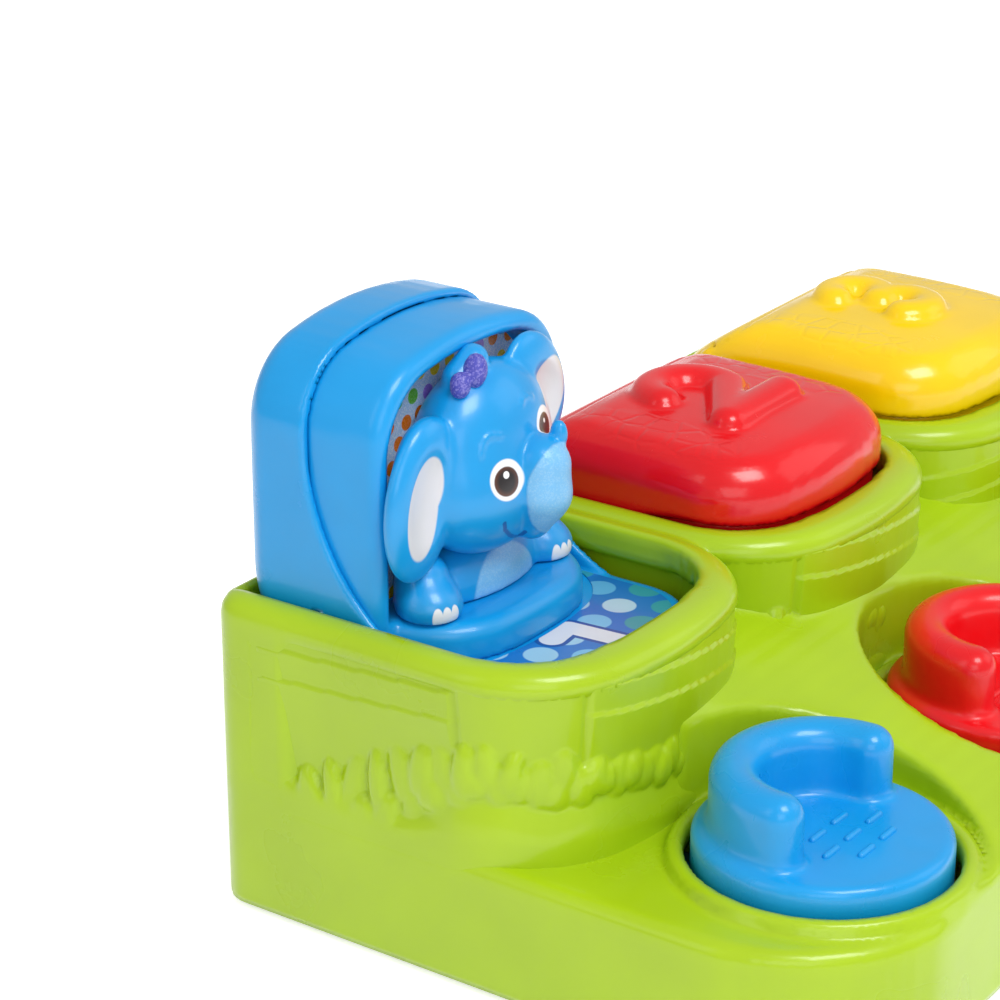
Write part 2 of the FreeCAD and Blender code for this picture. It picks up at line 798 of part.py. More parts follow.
def lid_shell(bay):
    """The outer moulding of a carriage: cap, drum, floor and cheeks."""
    wall = dim.lid_wall
    name = f"lid{bay}"
    seam = dim.seam_back
    cap = prism(name + "_cap", lid_arch.outline(0), dim.cap_depth, 0, drum_radius, 0, FACING_FRONT)
    cap = rounded(name + "_cap_round", cap, dim.cap_round,
                  lambda edge: edge.BoundBox.YMin > drum_radius.number - 0.01
                  and edge.BoundBox.ZMax > 0.01)
    cap_room = prism(name + "_cap_room", lid_arch.inset(wall).outline(-wall), dim.cap_depth, 0,
                     drum_radius - wall, 0, FACING_FRONT)
    drum = cylinder(name + "_drum", drum_radius, dim.lid_half * 2, -dim.lid_half, 0, 0, ALONG_X)
    quarter = box(name + "_quarter", -dim.lid_half, dim.lid_half, 0, drum_radius, -drum_radius, 0)
    drum = common(name + "_drum_quarter", drum, quarter)
    drum_room = cylinder(name + "_drum_room", drum_radius - wall, (dim.lid_half - wall) * 2,
                         wall - dim.lid_half, 0, 0, ALONG_X)
    room = box(name + "_room", wall - dim.lid_half, dim.lid_half - wall, wall, drum_radius,
               -drum_radius, 0)
    drum_room = common(name + "_drum_hollow", drum_room, room)
    neck = box(name + "_neck", wall - dim.lid_half, dim.lid_half - wall, seam - dim.cap_depth,
               drum_radius - wall, -dim.floor_drop, wall)
    floor_plan = floor_arch().outline(-drum_radius + wall)
    floor = prism(name + "_floor", floor_plan, dim.floor_thick, 0, 0, -dim.floor_drop - dim.floor_thick,
                  TURNED_ROUND)
    cheeks = []
    foot = -dim.floor_drop - dim.floor_thick
    cheek = [(seam, dim.cheek_top, -dim.cheek_radius), (-dim.cheek_reach, -dim.floor_drop, None),
             (-dim.cheek_reach, foot, None), (seam + wall, foot, None), (seam + wall, dim.cheek_top, None)]
    for side in (-1, 1):
        start = -dim.lid_half if side < 0 else dim.lid_half - wall
        cheeks.append(prism(f"{name}_cheek{side > 0}", cheek, wall, x=start, turn=ALONG_X))
    cup_depth = dim.coil_depth + wall
    cup_boss = cylinder(name + "_cup_boss", dim.coil_cup + wall, cup_depth, dim.lid_half - cup_depth, 0, 0,
                        ALONG_X)
    cup = cylinder(name + "_cup", dim.coil_cup, dim.coil_depth + 1, dim.lid_half - dim.coil_depth, 0, 0,
                   ALONG_X)
    bore = cylinder(name + "_bore", dim.pin_radius + dim.pin_play * 1.6, dim.lid_half * 2 + 2,
                    -dim.lid_half - 1, 0, 0, ALONG_X)
    pillars = []
    pilots = []
    for number, (x, z) in enumerate(lid_screw_places()):
        pillars.append(cylinder(f"{name}_pillar{number}", dim.lid_screw_head, pillar_length(), x,
                                pillar_start(), z, FACING_BACK))
        pilots.append(cylinder(f"{name}_pilot{number}", dim.lid_screw_radius + dim.screw_play,
                               pillar_length() - wall, x, pillar_start(), z, FACING_BACK))
    hollow = cut(name + "_hollow", fuse(name + "_shape", cap, drum), cap_room, drum_room)
    flange_box = box(name + "_flange", wall - dim.lid_half, dim.lid_half - wall, 0, wall,
                     -drum_radius + wall, -dim.floor_drop)
    shell = cut(name + "_open", hollow, neck)
    solids = [shell, flange_box, floor, numeral(bay), cup_boss, *cheeks, *pillars]
    full = fuse(name + "_full", *solids)
    return carried(bay, "lid_shell", cut(name + "_shell", full, cup, bore, *pilots))


def lid_screw_places():
    """Where the screws join the frame to the cap, across and up from the hinge axis."""
    return [(side * dim.lid_screw_side, height) for side in (-1, 1)
            for height in (dim.lid_screw_low, dim.lid_screw_high)]


def panel_front():
    """The plane of the frame's panel, behind the backdrop sticker."""
    return dim.seam_back - dim.frame_depth + dim.frame_recess


def pillar_start():
    """Where the cap's screw pillars begin, behind the frame's panel."""
    return panel_front() + dim.frame_panel + dim.screw_play


def pillar_length():
    """How long the cap's screw pillars are, into the cap's back wall."""
    return drum_radius - dim.lid_wall / 2 - pillar_start()


def lid_frame(bay):
    """The inner moulding of a carriage: an arch box with a panel and the ledge the animal stands on."""
    body = doc.addObject("PartDesign::Body", f"Frame{bay}")
    seam = dim.seam_back
    low = -dim.floor_drop
    band = dim.frame_band
    front = dim.frame_depth - seam
    side = frame_arch.half - dim.ledge_round - dim.frame_fit
    ledge = Arch(side, dim.ledge_reach, dim.lid_crown, dim.ledge_corner)
    feature(body, "Pad", "ledge", facing_front(ledge.outline(-panel_front())), "XY_Plane",
            dim.ledge_top - low, low)
    round_edges(body, "ledge_round", dim.ledge_round,
                lambda edge: edge.BoundBox.ZMin > dim.ledge_top.number - 0.01
                and edge.BoundBox.YMin < -front.number - 1)
    feature(body, "Pad", "arch", frame_arch.outline(low), "XZ_Plane", dim.frame_depth, -seam)
    round_edges(body, "front_round", dim.frame_round,
                lambda edge: edge.BoundBox.YMax < -front.number + 0.01
                and edge.BoundBox.YMin > -front.number - 0.01
                and edge.BoundBox.ZMax > dim.ledge_reach.number)
    feature(body, "Pocket", "recess", frame_arch.inset(band).outline(dim.ledge_top), "XZ_Plane",
            dim.frame_recess, front)
    rear = dim.frame_depth - dim.frame_recess - dim.frame_panel
    feature(body, "Pocket", "rear_room", frame_arch.inset(dim.lid_wall).outline(low - 1), "XZ_Plane",
            rear, -seam, reverse=True)
    notch = dim.coil_cup + dim.lid_wall + dim.frame_fit
    feature(body, "Pocket", "hinge_notch", rectangle(-notch, seam + 1, low - 1, notch), "YZ_Plane",
            dim.lid_half * 2, 0, midplane=True)
    screw_holes = Group(Ring(x, z, dim.lid_screw_radius + dim.screw_play) for x, z in lid_screw_places())
    feature(body, "Pocket", "screw_holes", screw_holes, "XZ_Plane", dim.frame_panel + 1,
            -panel_front() - dim.frame_panel / 2, midplane=True)
    return carried(bay, "lid_frame", body)


def facing_front(outline):
    """An outline turned half round, so that its far end points to the front."""
    return [(-as_size(x), -as_size(y), turn) for x, y, turn in outline]


def stickers(bay):
    """The printed sheets on the frame's panel and on the carriage's floor."""
    thick = dim.sticker_thick
    inner = frame_arch.inset(dim.frame_band + dim.sticker_margin)
    back = prism(f"backdrop{bay}", inner.outline(dim.ledge_top + thick), thick, 0, panel_front(), 0,
                 FACING_FRONT)
    holes = [cylinder(f"backdrop_hole{bay}{number}", dim.lid_screw_head + dim.screw_play, thick * 4, x,
                      panel_front() - thick * 2, z, FACING_BACK)
             for number, (x, z) in enumerate(lid_screw_places())]
    carried(bay, "backdrop_sticker", cut(f"backdrop_cut{bay}", back, *holes))
    plan = floor_arch().inset(dim.lid_wall + dim.sticker_margin)
    sheet = prism(f"floor_sheet{bay}", plan.outline(dim.ledge_reach - dim.ledge_corner), thick, 0, 0,
                  -dim.floor_drop, TURNED_ROUND)
    ledge = Arch(frame_arch.half, dim.ledge_reach, dim.lid_crown, dim.ledge_corner).inset(-dim.sticker_margin)
    room = prism(f"floor_room{bay}", ledge.outline(0), thick * 4, 0, 0, -dim.floor_drop - thick, TURNED_ROUND)
    carried(bay, "floor_sticker", cut(f"floor_cut{bay}", sheet, room))


def lid_screws(bay):
    """The small screws that hold the frame in the cap."""
    screws = []
    for number, (x, z) in enumerate(lid_screw_places()):
        head = cylinder(f"lid_head{bay}{number}", dim.lid_screw_head, dim.lid_screw_radius, x,
                        panel_front() - dim.lid_screw_radius, z, FACING_BACK)
        shank = cylinder(f"lid_shank{bay}{number}", dim.lid_screw_radius,
                         dim.frame_panel + dim.screw_reach, x, panel_front() - dim.lid_screw_radius / 2, z,
                         FACING_BACK)
        screws.append(fuse(f"lid_screw{bay}{number}", head, shank))
    return carried(bay, "lid_screws", group(f"lid_screw_group{bay}", screws))


# ---------------------------------------------------------------- animals

def animal_front():
    """The plane that an animal's flat back lies on, just in front of the backdrop sticker."""
    return panel_front() - dim.sticker_thick - dim.screw_play


def pebble(name, radius, depth, roundness, x, y, z):
    """A round form that stands forward of a point, with its front edge rounded."""
    front = (as_size(y) - depth).number
    bar = cylinder(name + "_bar", radius, depth, x, y, z, FACING_FRONT)
    return rounded(name, bar, as_size(roundness), lambda edge: edge.BoundBox.YMax < front + 0.01)


def capsule(name, radius, length, x, y, z):
    """An upright bar with round ends."""
    bar = cylinder(name + "_bar", radius, length, x, y, z)
    return rounded(name, bar, radius * 0.96, lambda edge: edge.isClosed())


def column(name, radius, height, roundness, x, y, z):
    """An upright bar with its top edge rounded."""
    top = (as_size(z) + height).number
    bar = cylinder(name + "_bar", radius, height, x, y, z)
    return rounded(name, bar, as_size(roundness), lambda edge: edge.BoundBox.ZMin > top - 0.01)


def elephant_ear(name, x, up, lean):
    """An elephant's ear: a long oval that stands in front of the frame's rim."""
    half = dim.ear_wide
    run = dim.ear_tall - dim.ear_wide
    oval = [(half, -run, None), (half, run, LEFT_HALF), (-half, run, None), (-half, -run, LEFT_HALF)]
    back = dim.seam_back - dim.frame_depth - dim.frame_fit
    turn = Rotation(Vector(0, 1, 0), lean.number).multiply(FACING_FRONT)
    return prism(name, oval, dim.ear_deep * 2, x, back, up, turn)


def mane_radius():
    """How far a lion's mane reaches round its head."""
    return dim.head_wide * 1.08


def animal_head(bay):
    """The head: a rounded form with the ears and the nose of its kind, flat behind."""
    kind = BAYS[bay][0]
    name = f"{kind}_head"
    back = animal_front()
    up = dim.head_up
    solids = [pebble(name + "_skull", dim.head_wide, dim.head_deep, dim.head_round, 0, back, up)]
    if kind == "elephant":
        solids.append(elephant_ear(name + "_ear_left", -dim.ear_left, dim.ear_left_up, dim.ear_left_lean))
        solids.append(elephant_ear(name + "_ear_right", dim.ear_right, dim.ear_right_up, dim.ear_right_lean))
        radius = dim.trunk_radius
        trunk_y = back - dim.head_deep - radius * 0.35
        solids.append(capsule(name + "_trunk", radius, radius * 4, 0, trunk_y, up - radius * 2.7))
    else:
        size = dim.ear_wide * 0.7
        for side in (-1, 1):
            solids.append(pebble(f"{name}_ear{side > 0}", size, dim.ear_deep * 2, dim.ear_deep,
                                 side * dim.head_wide * 0.7, back, up + dim.head_wide * 0.6))
        muzzle = dim.muzzle_radius
        solids.append(pebble(name + "_muzzle", muzzle, muzzle, muzzle * 0.6, 0,
                             back - dim.head_deep + muzzle * 0.4, up - muzzle * 0.7))
    if kind == "lion":
        solids.append(pebble(name + "_mane", mane_radius(), dim.ear_deep * 2.4, dim.ear_deep, 0, back, up))
    return carried(bay, name, fuse(name + "_whole", *solids))


def animal_body(bay):
    """The body, seated on the ledge under the head, with its two front legs forward."""
    kind = BAYS[bay][0]
    name = f"{kind}_body"
    floor = dim.ledge_top + dim.screw_play
    chin = mane_radius() if kind == "lion" else dim.head_wide
    tall = dim.head_up - chin - dim.frame_fit - floor
    back = animal_front()
    half = dim.body_wide
    bulge = (half * half + dim.body_deep * dim.body_deep) / (dim.body_deep * 2)
    belly = [(half, back, None), (-half, back, bulge)]
    torso = prism(name + "_torso", belly, tall, z=floor)
    solids = [torso]
    radius = dim.leg_radius
    for side in (-1, 1):
        x = side * dim.leg_spread
        y = back - radius * 1.02
        solids.append(column(f"{name}_leg{side > 0}", radius, tall, radius * 0.5, x, y, floor))
        solids.append(column(f"{name}_foot{side > 0}", radius, radius * 0.8, radius * 0.4, x,
                             y - radius * 0.35, floor))
    return carried(bay, name, fuse(name + "_whole", *solids))


# ---------------------------------------------------------------- pins and springs

def hinge_pin(bay):
    """The steel pin of a lid, held at both ends in the rim."""
    reach = opening_arch.half + dim.pin_grip
    pin = cylinder(f"pin{bay}", dim.pin_radius, reach * 2, bay_x(bay) - reach, hinge_y, hinge_z, ALONG_X)
    return sub_part(f"hinge_pin_{bay + 1}", pin)


def coil(name, wire, radius, height, turns):
    """A round-wire coil standing on its first turn, its axis along Z, in runs of a quarter turn."""
    rise = height / turns / 4
    runs = []
    for number in range(int(turns * 4)):
        run = Part.makeHelix(rise * 4, rise, radius).Edges[0]
        run.Placement = Placement(Vector(0, 0, number * rise), Rotation(Vector(0, 0, 1), number * 90))
        runs.append(run)
    path = Part.Wire(runs)
    along = runs[0].tangentAt(runs[0].FirstParameter)
    section = Part.Wire(Part.makeCircle(wire / 2, Vector(radius, 0, 0), along))
    spring = doc.addObject("Part::Feature", name)
    spring.Shape = path.makePipeShell([section], True, True)
    return spring


def hinge_spring(bay):
    """The torsion coil round a hinge pin, with one end held in the rim."""
    wire = dim.coil_wire.number
    room = dim.coil_depth.number - wire - 0.6
    spring = coil(f"coil{bay}", wire, dim.coil_radius.number, room, 2.75)
    start = bay_x(bay) + dim.lid_half - dim.coil_depth + wire / 2 + 0.3
    lay = Rotation(Vector(1, 0, 0), Vector(0, 1, 0), Vector(0, 0, 1), "XYZ")
    lay = Rotation(Vector(0, 1, 0), 90).multiply(lay)
    place(spring, start, hinge_y, hinge_z, lay)
    tang_reach = dim.coil_depth - wire / 2 - 0.3 - room + dim.lid_gap + dim.pin_grip * 0.75
    tang = cylinder(f"tang{bay}", dim.coil_wire / 2, tang_reach, start + room, hinge_y,
                    hinge_z - dim.coil_radius, ALONG_X)
    return sub_part(f"hinge_spring_{bay + 1}", fuse(f"torsion{bay}", spring, tang))


def pad_spring(bay):
    """The compression coil under an activator pad."""
    wire = dim.pad_spring_wire
    room = dim.pad_top - dim.pad_wall - cover_top - wire - dim.frame_fit * 2
    spring = coil(f"pad_coil{bay}", wire.number, dim.pad_spring_radius.number, room.number, 8)
    place(spring, bay_x(bay), pad_y - dim.pad_spring_back, cover_top + wire / 2 + dim.frame_fit)
    return sub_part(f"activator_spring_{bay + 1}", spring)


def latch_spring(bay):
    """The small coil that lifts a latch's nose."""
    wire = dim.latch_spring_wire
    room = latch_underside() - cover_top - wire - dim.screw_play * 4
    spring = coil(f"latch_coil{bay}", wire.number, dim.latch_spring_radius.number, room.number, 3)
    place(spring, bay_x(bay), dim.latch_pivot_y + dim.latch_spring_back,
          cover_top + wire / 2 + dim.screw_play * 2)
    return sub_part(f"latch_spring_{bay + 1}", spring)


# ---------------------------------------------------------------- activators and latches

def activator(bay):
    """The round press pad: a cup with a finger ridge, pivot lugs and a rear arm."""
    body = doc.addObject("PartDesign::Body", f"Pad{bay}")
    wall = dim.pad_wall
    radius = dim.pad_radius
    feature(body, "Pad", "disc", Ring(0, 0, radius), "XY_Plane", dim.pad_skirt, -dim.pad_skirt)
    round_edges(body, "disc_round", wall, lambda edge: edge.BoundBox.ZMin > -0.01)
    feature(body, "Pocket", "inside", Ring(0, 0, radius - wall), "XY_Plane", dim.pad_skirt - wall,
            -dim.pad_skirt, reverse=True)
    outer = dim.ridge_radius
    inner = dim.ridge_radius - dim.ridge_thick
    crescent = [(outer, 0, LEFT_HALF), (-outer, 0, LEFT_HALF), (-inner, 0, RIGHT_HALF),
                (inner, 0, LEFT_HALF)]
    feature(body, "Pad", "ridge", crescent, "XY_Plane", dim.ridge_height)
    round_edges(body, "ridge_round", dim.ridge_thick * 0.4,
                lambda edge: edge.BoundBox.ZMin > dim.ridge_height.number - 0.01)
    rise = dim.rib_height
    ribs = Group()
    for x, y in rib_places(bay):
        ribs.append([(x - dim.rib_length / 2, y - rise, None), (x + dim.rib_length / 2, y - rise, LEFT_HALF),
                     (x + dim.rib_length / 2, y + rise, None), (x - dim.rib_length / 2, y + rise, LEFT_HALF)])
    feature(body, "Pad", "ribs", ribs, "XY_Plane", rise)
    drop = dim.pad_pivot_drop
    back = dim.pad_pivot_back
    half = dim.post_half
    lugs = Group(post_pair(0, back, dim.pad_lug_inner, dim.pad_lug_thick))
    feature(body, "Pad", "lugs", lugs, "XY_Plane", drop + half - wall / 2, -drop - half)
    arm_top = dim.arm_top - dim.pad_top
    reach = dim.arm_tip - pad_y
    arm = [(back - half, -wall / 2, None), (back - half, arm_top - dim.arm_thick, None),
           (reach, arm_top - dim.arm_thick, None), (reach, arm_top, None), (back + half, arm_top, None),
           (back + half, -wall / 2, None)]
    feature(body, "Pad", "arm", arm, "YZ_Plane", dim.arm_half * 2, 0, midplane=True)
    peg = dim.pad_spring_radius - dim.pad_spring_wire
    feature(body, "Pad", "spring_peg", Ring(0, -dim.pad_spring_back, peg), "XY_Plane",
            peg - wall / 2, -peg)
    feature(body, "Pocket", "pivot_bore", Ring(back, -drop, dim.pad_pin_radius + dim.pin_play * 1.6),
            "YZ_Plane", dim.pad_radius, 0, midplane=True)
    place(body, bay_x(bay), pad_y, dim.pad_top)
    return sub_part(f"activator_{bay + 1}", body)


def rib_places(bay):
    """Where the small grip ribs stand on the pad's plate, in rows that differ from bay to bay."""
    step = dim.rib_length * 1.6
    rows = {0: (2, 3, 2), 1: (3, 2, 3), 2: (1, 2, 3)}[bay]
    places = []
    for row, count in enumerate(rows):
        for place_in_row in range(count):
            x = step * (place_in_row - (count - 1) / 2)
            places.append((x, -dim.rib_length * (0.2 + row * 0.9)))
    return places


def activator_pin(bay):
    """The pin that an activator rocks on."""
    reach = dim.pad_lug_inner + dim.pad_lug_thick + dim.post_gap + dim.post_thick
    pin = cylinder(f"pad_pin{bay}", dim.pad_pin_radius, reach * 2, bay_x(bay) - reach, pivot_y, pivot_z,
                   ALONG_X)
    return sub_part(f"activator_pin_{bay + 1}", pin)


def latch_underside():
    """The height of the underside of a latch's rear half."""
    return sweep_floor - dim.nose_gap - dim.nose_stand - dim.latch_thick


def latch(bay):
    """The lever that an activator's arm lifts, so that its nose drops away from the lid's floor."""
    body = doc.addObject("PartDesign::Body", f"Lever{bay}")
    low = latch_underside()
    high = low + dim.latch_thick
    nose_top = sweep_floor - dim.nose_gap
    nose_back = hinge_y + dim.floor_drop - dim.nose_stand
    front = dim.arm_tip - dim.latch_thick * 2
    pad_low = dim.arm_top + dim.latch_gap
    pad_high = pad_low + dim.latch_thick
    bend = dim.latch_pivot_y - dim.latch_boss * 2
    profile = [(front, pad_low, None), (dim.arm_tip, pad_low, None), (bend, low, None),
               (nose_back, low, None), (nose_back, nose_top, None), (nose_back - dim.nose_thick, nose_top, None),
               (nose_back - dim.nose_thick, high, None), (bend, high + dim.nose_stand, None),
               (dim.arm_tip, pad_high, None), (front, pad_high, None)]
    feature(body, "Pad", "lever", profile, "YZ_Plane", dim.latch_half * 2, 0, midplane=True)
    feature(body, "Pad", "boss", Ring(dim.latch_pivot_y, dim.latch_pivot_up, dim.latch_boss), "YZ_Plane",
            dim.latch_half * 2, 0, midplane=True)
    feature(body, "Pocket", "bore", Ring(dim.latch_pivot_y, dim.latch_pivot_up,
            dim.latch_pin_radius + dim.pin_play * 1.6), "YZ_Plane", dim.latch_half * 4, 0, midplane=True)
    place(body, bay_x(bay))
    return sub_part(f"latch_{bay + 1}", body)


def latch_pin(bay):
    """The pin that a latch rocks on."""
    reach = dim.latch_half + dim.post_gap + dim.latch_thick
    pin = cylinder(f"lever_pin{bay}", dim.latch_pin_radius, reach * 2, bay_x(bay) - reach,
                   dim.latch_pivot_y, dim.latch_pivot_up, ALONG_X)
    return sub_part(f"latch_pin_{bay + 1}", pin)


# ---------------------------------------------------------------- the whole toy

def build():
    """Make every piece."""
    top_housing()
    bottom_cover()
    case_screws()
    rubber_feet()
    for bay in range(len(BAYS)):
        lid_shell(bay)
        lid_frame(bay)
        stickers(bay)
        animal_head(bay)
        animal_body(bay)
        lid_screws(bay)
        hinge_pin(bay)
        hinge_spring(bay)
        activator(bay)
        activator_pin(bay)
        pad_spring(bay)
        latch(bay)
        latch_pin(bay)
        latch_spring(bay)
    doc.recompute()


def check():
    """Stop if any object failed to build or any sub-part isn't a valid solid."""
    for thing in doc.Objects:
        if "Invalid" in thing.State or "Error" in thing.State:
            raise RuntimeError(f"{thing.Name} ({thing.Label}) is {thing.State}")
    for piece in sub_parts:
        if piece.Shape.isNull() or not piece.Shape.isValid() or not piece.Shape.Solids:
            raise RuntimeError(f"{piece.Label} isn't a valid solid")


def write():
    """Write each sub-part to a file of its own."""
    os.makedirs("parts", exist_ok=True)
    for piece in sub_parts:
        piece.Shape.exportStep(f"parts/{piece.Label}.step")
        print(piece.Label, len(piece.Shape.Solids), round(piece.Shape.Volume, 1))


build()
check()
write()
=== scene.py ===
import math
from functools import reduce

import bmesh
import bpy
import numpy as np
from bpy.props import FloatProperty, FloatVectorProperty, IntProperty, PointerProperty
from mathutils import Matrix, Vector


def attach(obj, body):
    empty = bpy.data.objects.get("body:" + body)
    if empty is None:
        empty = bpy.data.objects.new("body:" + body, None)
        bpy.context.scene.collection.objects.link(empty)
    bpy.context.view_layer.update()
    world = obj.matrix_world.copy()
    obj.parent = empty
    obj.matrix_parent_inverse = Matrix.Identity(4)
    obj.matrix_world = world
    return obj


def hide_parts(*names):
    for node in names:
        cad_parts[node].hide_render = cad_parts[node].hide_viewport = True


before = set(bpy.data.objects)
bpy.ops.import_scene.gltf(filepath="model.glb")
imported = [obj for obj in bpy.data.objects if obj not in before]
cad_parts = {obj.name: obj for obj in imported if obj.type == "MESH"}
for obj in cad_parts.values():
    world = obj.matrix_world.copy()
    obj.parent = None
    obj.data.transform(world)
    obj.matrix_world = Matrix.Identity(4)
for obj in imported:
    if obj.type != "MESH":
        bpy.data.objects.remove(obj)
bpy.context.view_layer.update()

bl_info = {
    "name": "Pop-up animal toy",
    "version": (1, 0, 0),
    "blender": (4, 5, 0),
    "location": "3D Viewport > Sidebar > Toy",
    "description": "Builds the moulded housing, lids, animals, pads and prints of a pop-up toy",
    "category": "Add Mesh",
}

# Shapes are worked out in millimetres and made in metres. The frame is the CAD model's own: +X along
# the row of bays, +Y to the back, +Z up. A lid and its animal are shaped about the hinge axis with
# the lid standing open, and then turned into their bay. HALF_X to REAR_CORNER give the outline from
# above, and RIM is the height of the tubs.
MM = 0.001
BAY_X = (-100.0, 0.0, 100.0)
HINGE_Y = 67.25
HINGE_Z = 83.5
PAD_Y = -55.0
PAD_Z = 45.0
RIM = 87.0
HALF_X = 151.0
HALF_Y = 94.0
FRONT_CORNER = 45.0
REAR_CORNER = 8.0
WALL = 2.6
KINDS = ("elephant", "bear", "lion")
CLOSED = (False, True, True)


def linear(red, green, blue):
    """A screen colour, 0 to 255, as the linear values that Blender keeps."""
    def value(part):
        part = part / 255
        return part / 12.92 if part <= 0.04045 else ((part + 0.055) / 1.055) ** 2.4
    return (value(red), value(green), value(blue))


# ---------------------------------------------------------------- settings

def colour_setting(name, text, rgb):
    return FloatVectorProperty(name=name, description=text, default=linear(*rgb), size=3, min=0, max=1,
                               subtype="COLOR")


def length_setting(name, text, value):
    return FloatProperty(name=name, description=text, default=value * MM, min=0, unit="LENGTH",
                         subtype="DISTANCE")


class ToyColours(bpy.types.PropertyGroup):
    """The colours of the mouldings and the prints."""

    housing: colour_setting("Housing", "Lime of the tubs and the apron", (170, 202, 18))
    blue: colour_setting("Blue", "First lid, its frame and its pad", (14, 156, 226))
    red: colour_setting("Red", "Second lid and its pad", (232, 8, 20))
    yellow: colour_setting("Yellow", "Third lid and its pad", (254, 212, 2))
    pale: colour_setting("Pale blue", "Glittery trunk and belly", (124, 196, 246))
    brown: colour_setting("Brown", "The bear", (142, 92, 52))
    gold: colour_setting("Gold", "The lion", (236, 170, 62))
    ear_inside: colour_setting("Ear inside", "Pale inside of the ears", (222, 220, 226))
    hair: colour_setting("Hair", "Glittery tuft on the head", (78, 80, 184))


class ToySizes(bpy.types.PropertyGroup):
    """Finish sizes that don't change the outside dimensions."""

    housing_grid: length_setting("Housing grid", "Spacing of the housing's mesh", 1.7)
    lid_grid: length_setting("Lid grid", "Spacing of the meshes of the lids and frames", 1.15)
    figure_grid: length_setting("Figure grid", "Spacing of the meshes of the animals", 0.75)
    plank_step: length_setting("Plank step", "How far a plank's top edge stands out", 0.6)
    leaf_rise: length_setting("Leaf rise", "How far the leaves bulge from the wall", 2.9)
    rib_length: length_setting("Rib length", "Length of a grip rib on a pad", 7.0)
    rib_width: length_setting("Rib width", "Width of a grip rib on a pad", 2.0)
    leaf_seed: IntProperty(name="Leaf seed", description="Arrangement of the leaves", default=7, min=0)


# ---------------------------------------------------------------- distance fields

def outline_distance(points, x, y):
    """Signed distance in a plane to a closed outline, negative inside."""
    x, y = np.broadcast_arrays(x, y)
    nearest = np.full(x.shape, 1e9)
    inside = np.zeros(x.shape, bool)
    for (ax, ay), (bx, by) in zip(points, points[1:] + points[:1]):
        ex, ey = bx - ax, by - ay
        px, py = x - ax, y - ay
        share = unit((px * ex + py * ey) / (ex * ex + ey * ey + 1e-12))
        nearest = np.minimum(nearest, (px - share * ex) ** 2 + (py - share * ey) ** 2)
        if abs(ey) > 1e-9:
            crosses = (ay > y) != (by > y)
            inside ^= crosses & (px < py * ex / ey)
    return np.where(inside, -1.0, 1.0) * np.sqrt(nearest)


def stroke_distance(points, x, y):
    """Distance in a plane to an open line."""
    x, y = np.broadcast_arrays(x, y)
    nearest = np.full(x.shape, 1e9)
    for (ax, ay), (bx, by) in zip(points, points[1:]):
        ex, ey = bx - ax, by - ay
        px, py = x - ax, y - ay
        share = unit((px * ex + py * ey) / (ex * ex + ey * ey + 1e-12))
        nearest = np.minimum(nearest, (px - share * ex) ** 2 + (py - share * ey) ** 2)
    return np.sqrt(nearest)


def arc_points(x, y, radius, start, end, step=5.0):
    """Points along an arc, its angles in degrees."""
    count = max(2, int(abs(end - start) / step) + 1)
    return [(x + radius * math.cos(math.radians(start + (end - start) * n / (count - 1))),
             y + radius * math.sin(math.radians(start + (end - start) * n / (count - 1))))
            for n in range(count)]


def arch(half, reach, crown, corner, back, heel=0.0):
    """The arched outline that a tub, its opening, a lid and a frame share, from its back edge."""
    run = crown - corner
    side = half - corner
    rise = math.sqrt(run * run - side * side)
    shoulder = reach - crown + rise
    lean = math.degrees(math.atan2(rise, side))
    left = arc_points(-side, shoulder, corner, 180 - lean, 180)
    right = arc_points(side, shoulder, corner, 0, lean)
    top = arc_points(0, reach - crown, crown, lean, 180 - lean, 3.0)
    if heel:
        near = arc_points(half - heel, back + heel, heel, -90, 0, 15.0)
        far = arc_points(-half + heel, back + heel, heel, 180, 270, 15.0)
    else:
        near = [(half, back)]
        far = [(-half, back)]
    return near + right + top[1:-1] + left + far


def round_rect(half_x, low_y, high_y, front, rear):
    """A rectangle's outline with its front and rear corners rounded."""
    return (arc_points(half_x - front, low_y + front, front, -90, 0)
            + arc_points(half_x - rear, high_y - rear, rear, 0, 90, 15.0)
            + arc_points(-half_x + rear, high_y - rear, rear, 90, 180, 15.0)
            + arc_points(-half_x + front, low_y + front, front, 180, 270))


def slab(flat, across, radius):
    """A plane outline's distance carried through a thickness, with its edges rounded."""
    one = flat + radius
    two = across + radius
    return np.minimum(np.maximum(one, two), 0) + np.hypot(np.maximum(one, 0), np.maximum(two, 0)) - radius


def between(value, low, high):
    """Signed distance to the room between two planes."""
    return np.abs(value - (low + high) / 2) - (high - low) / 2


def unit(value):
    """A value held between 0 and 1."""
    return np.clip(value, 0, 1)


def ease(value):
    """A share from 0 to 1 that starts and ends gently."""
    return value * value * (3 - 2 * value)


def meet(*parts):
    """What several solids have in common."""
    return reduce(np.maximum, parts)


def join(*parts):
    """Several solids as one."""
    return reduce(np.minimum, parts)


def melt(one, two, radius):
    """Two solids joined with a soft fillet."""
    share = unit(0.5 + 0.5 * (two - one) / radius)
    return two * (1 - share) + one * share - radius * share * (1 - share)


def carve(one, two, radius):
    """A solid less another, its edge softened."""
    return -melt(-one, two, radius)


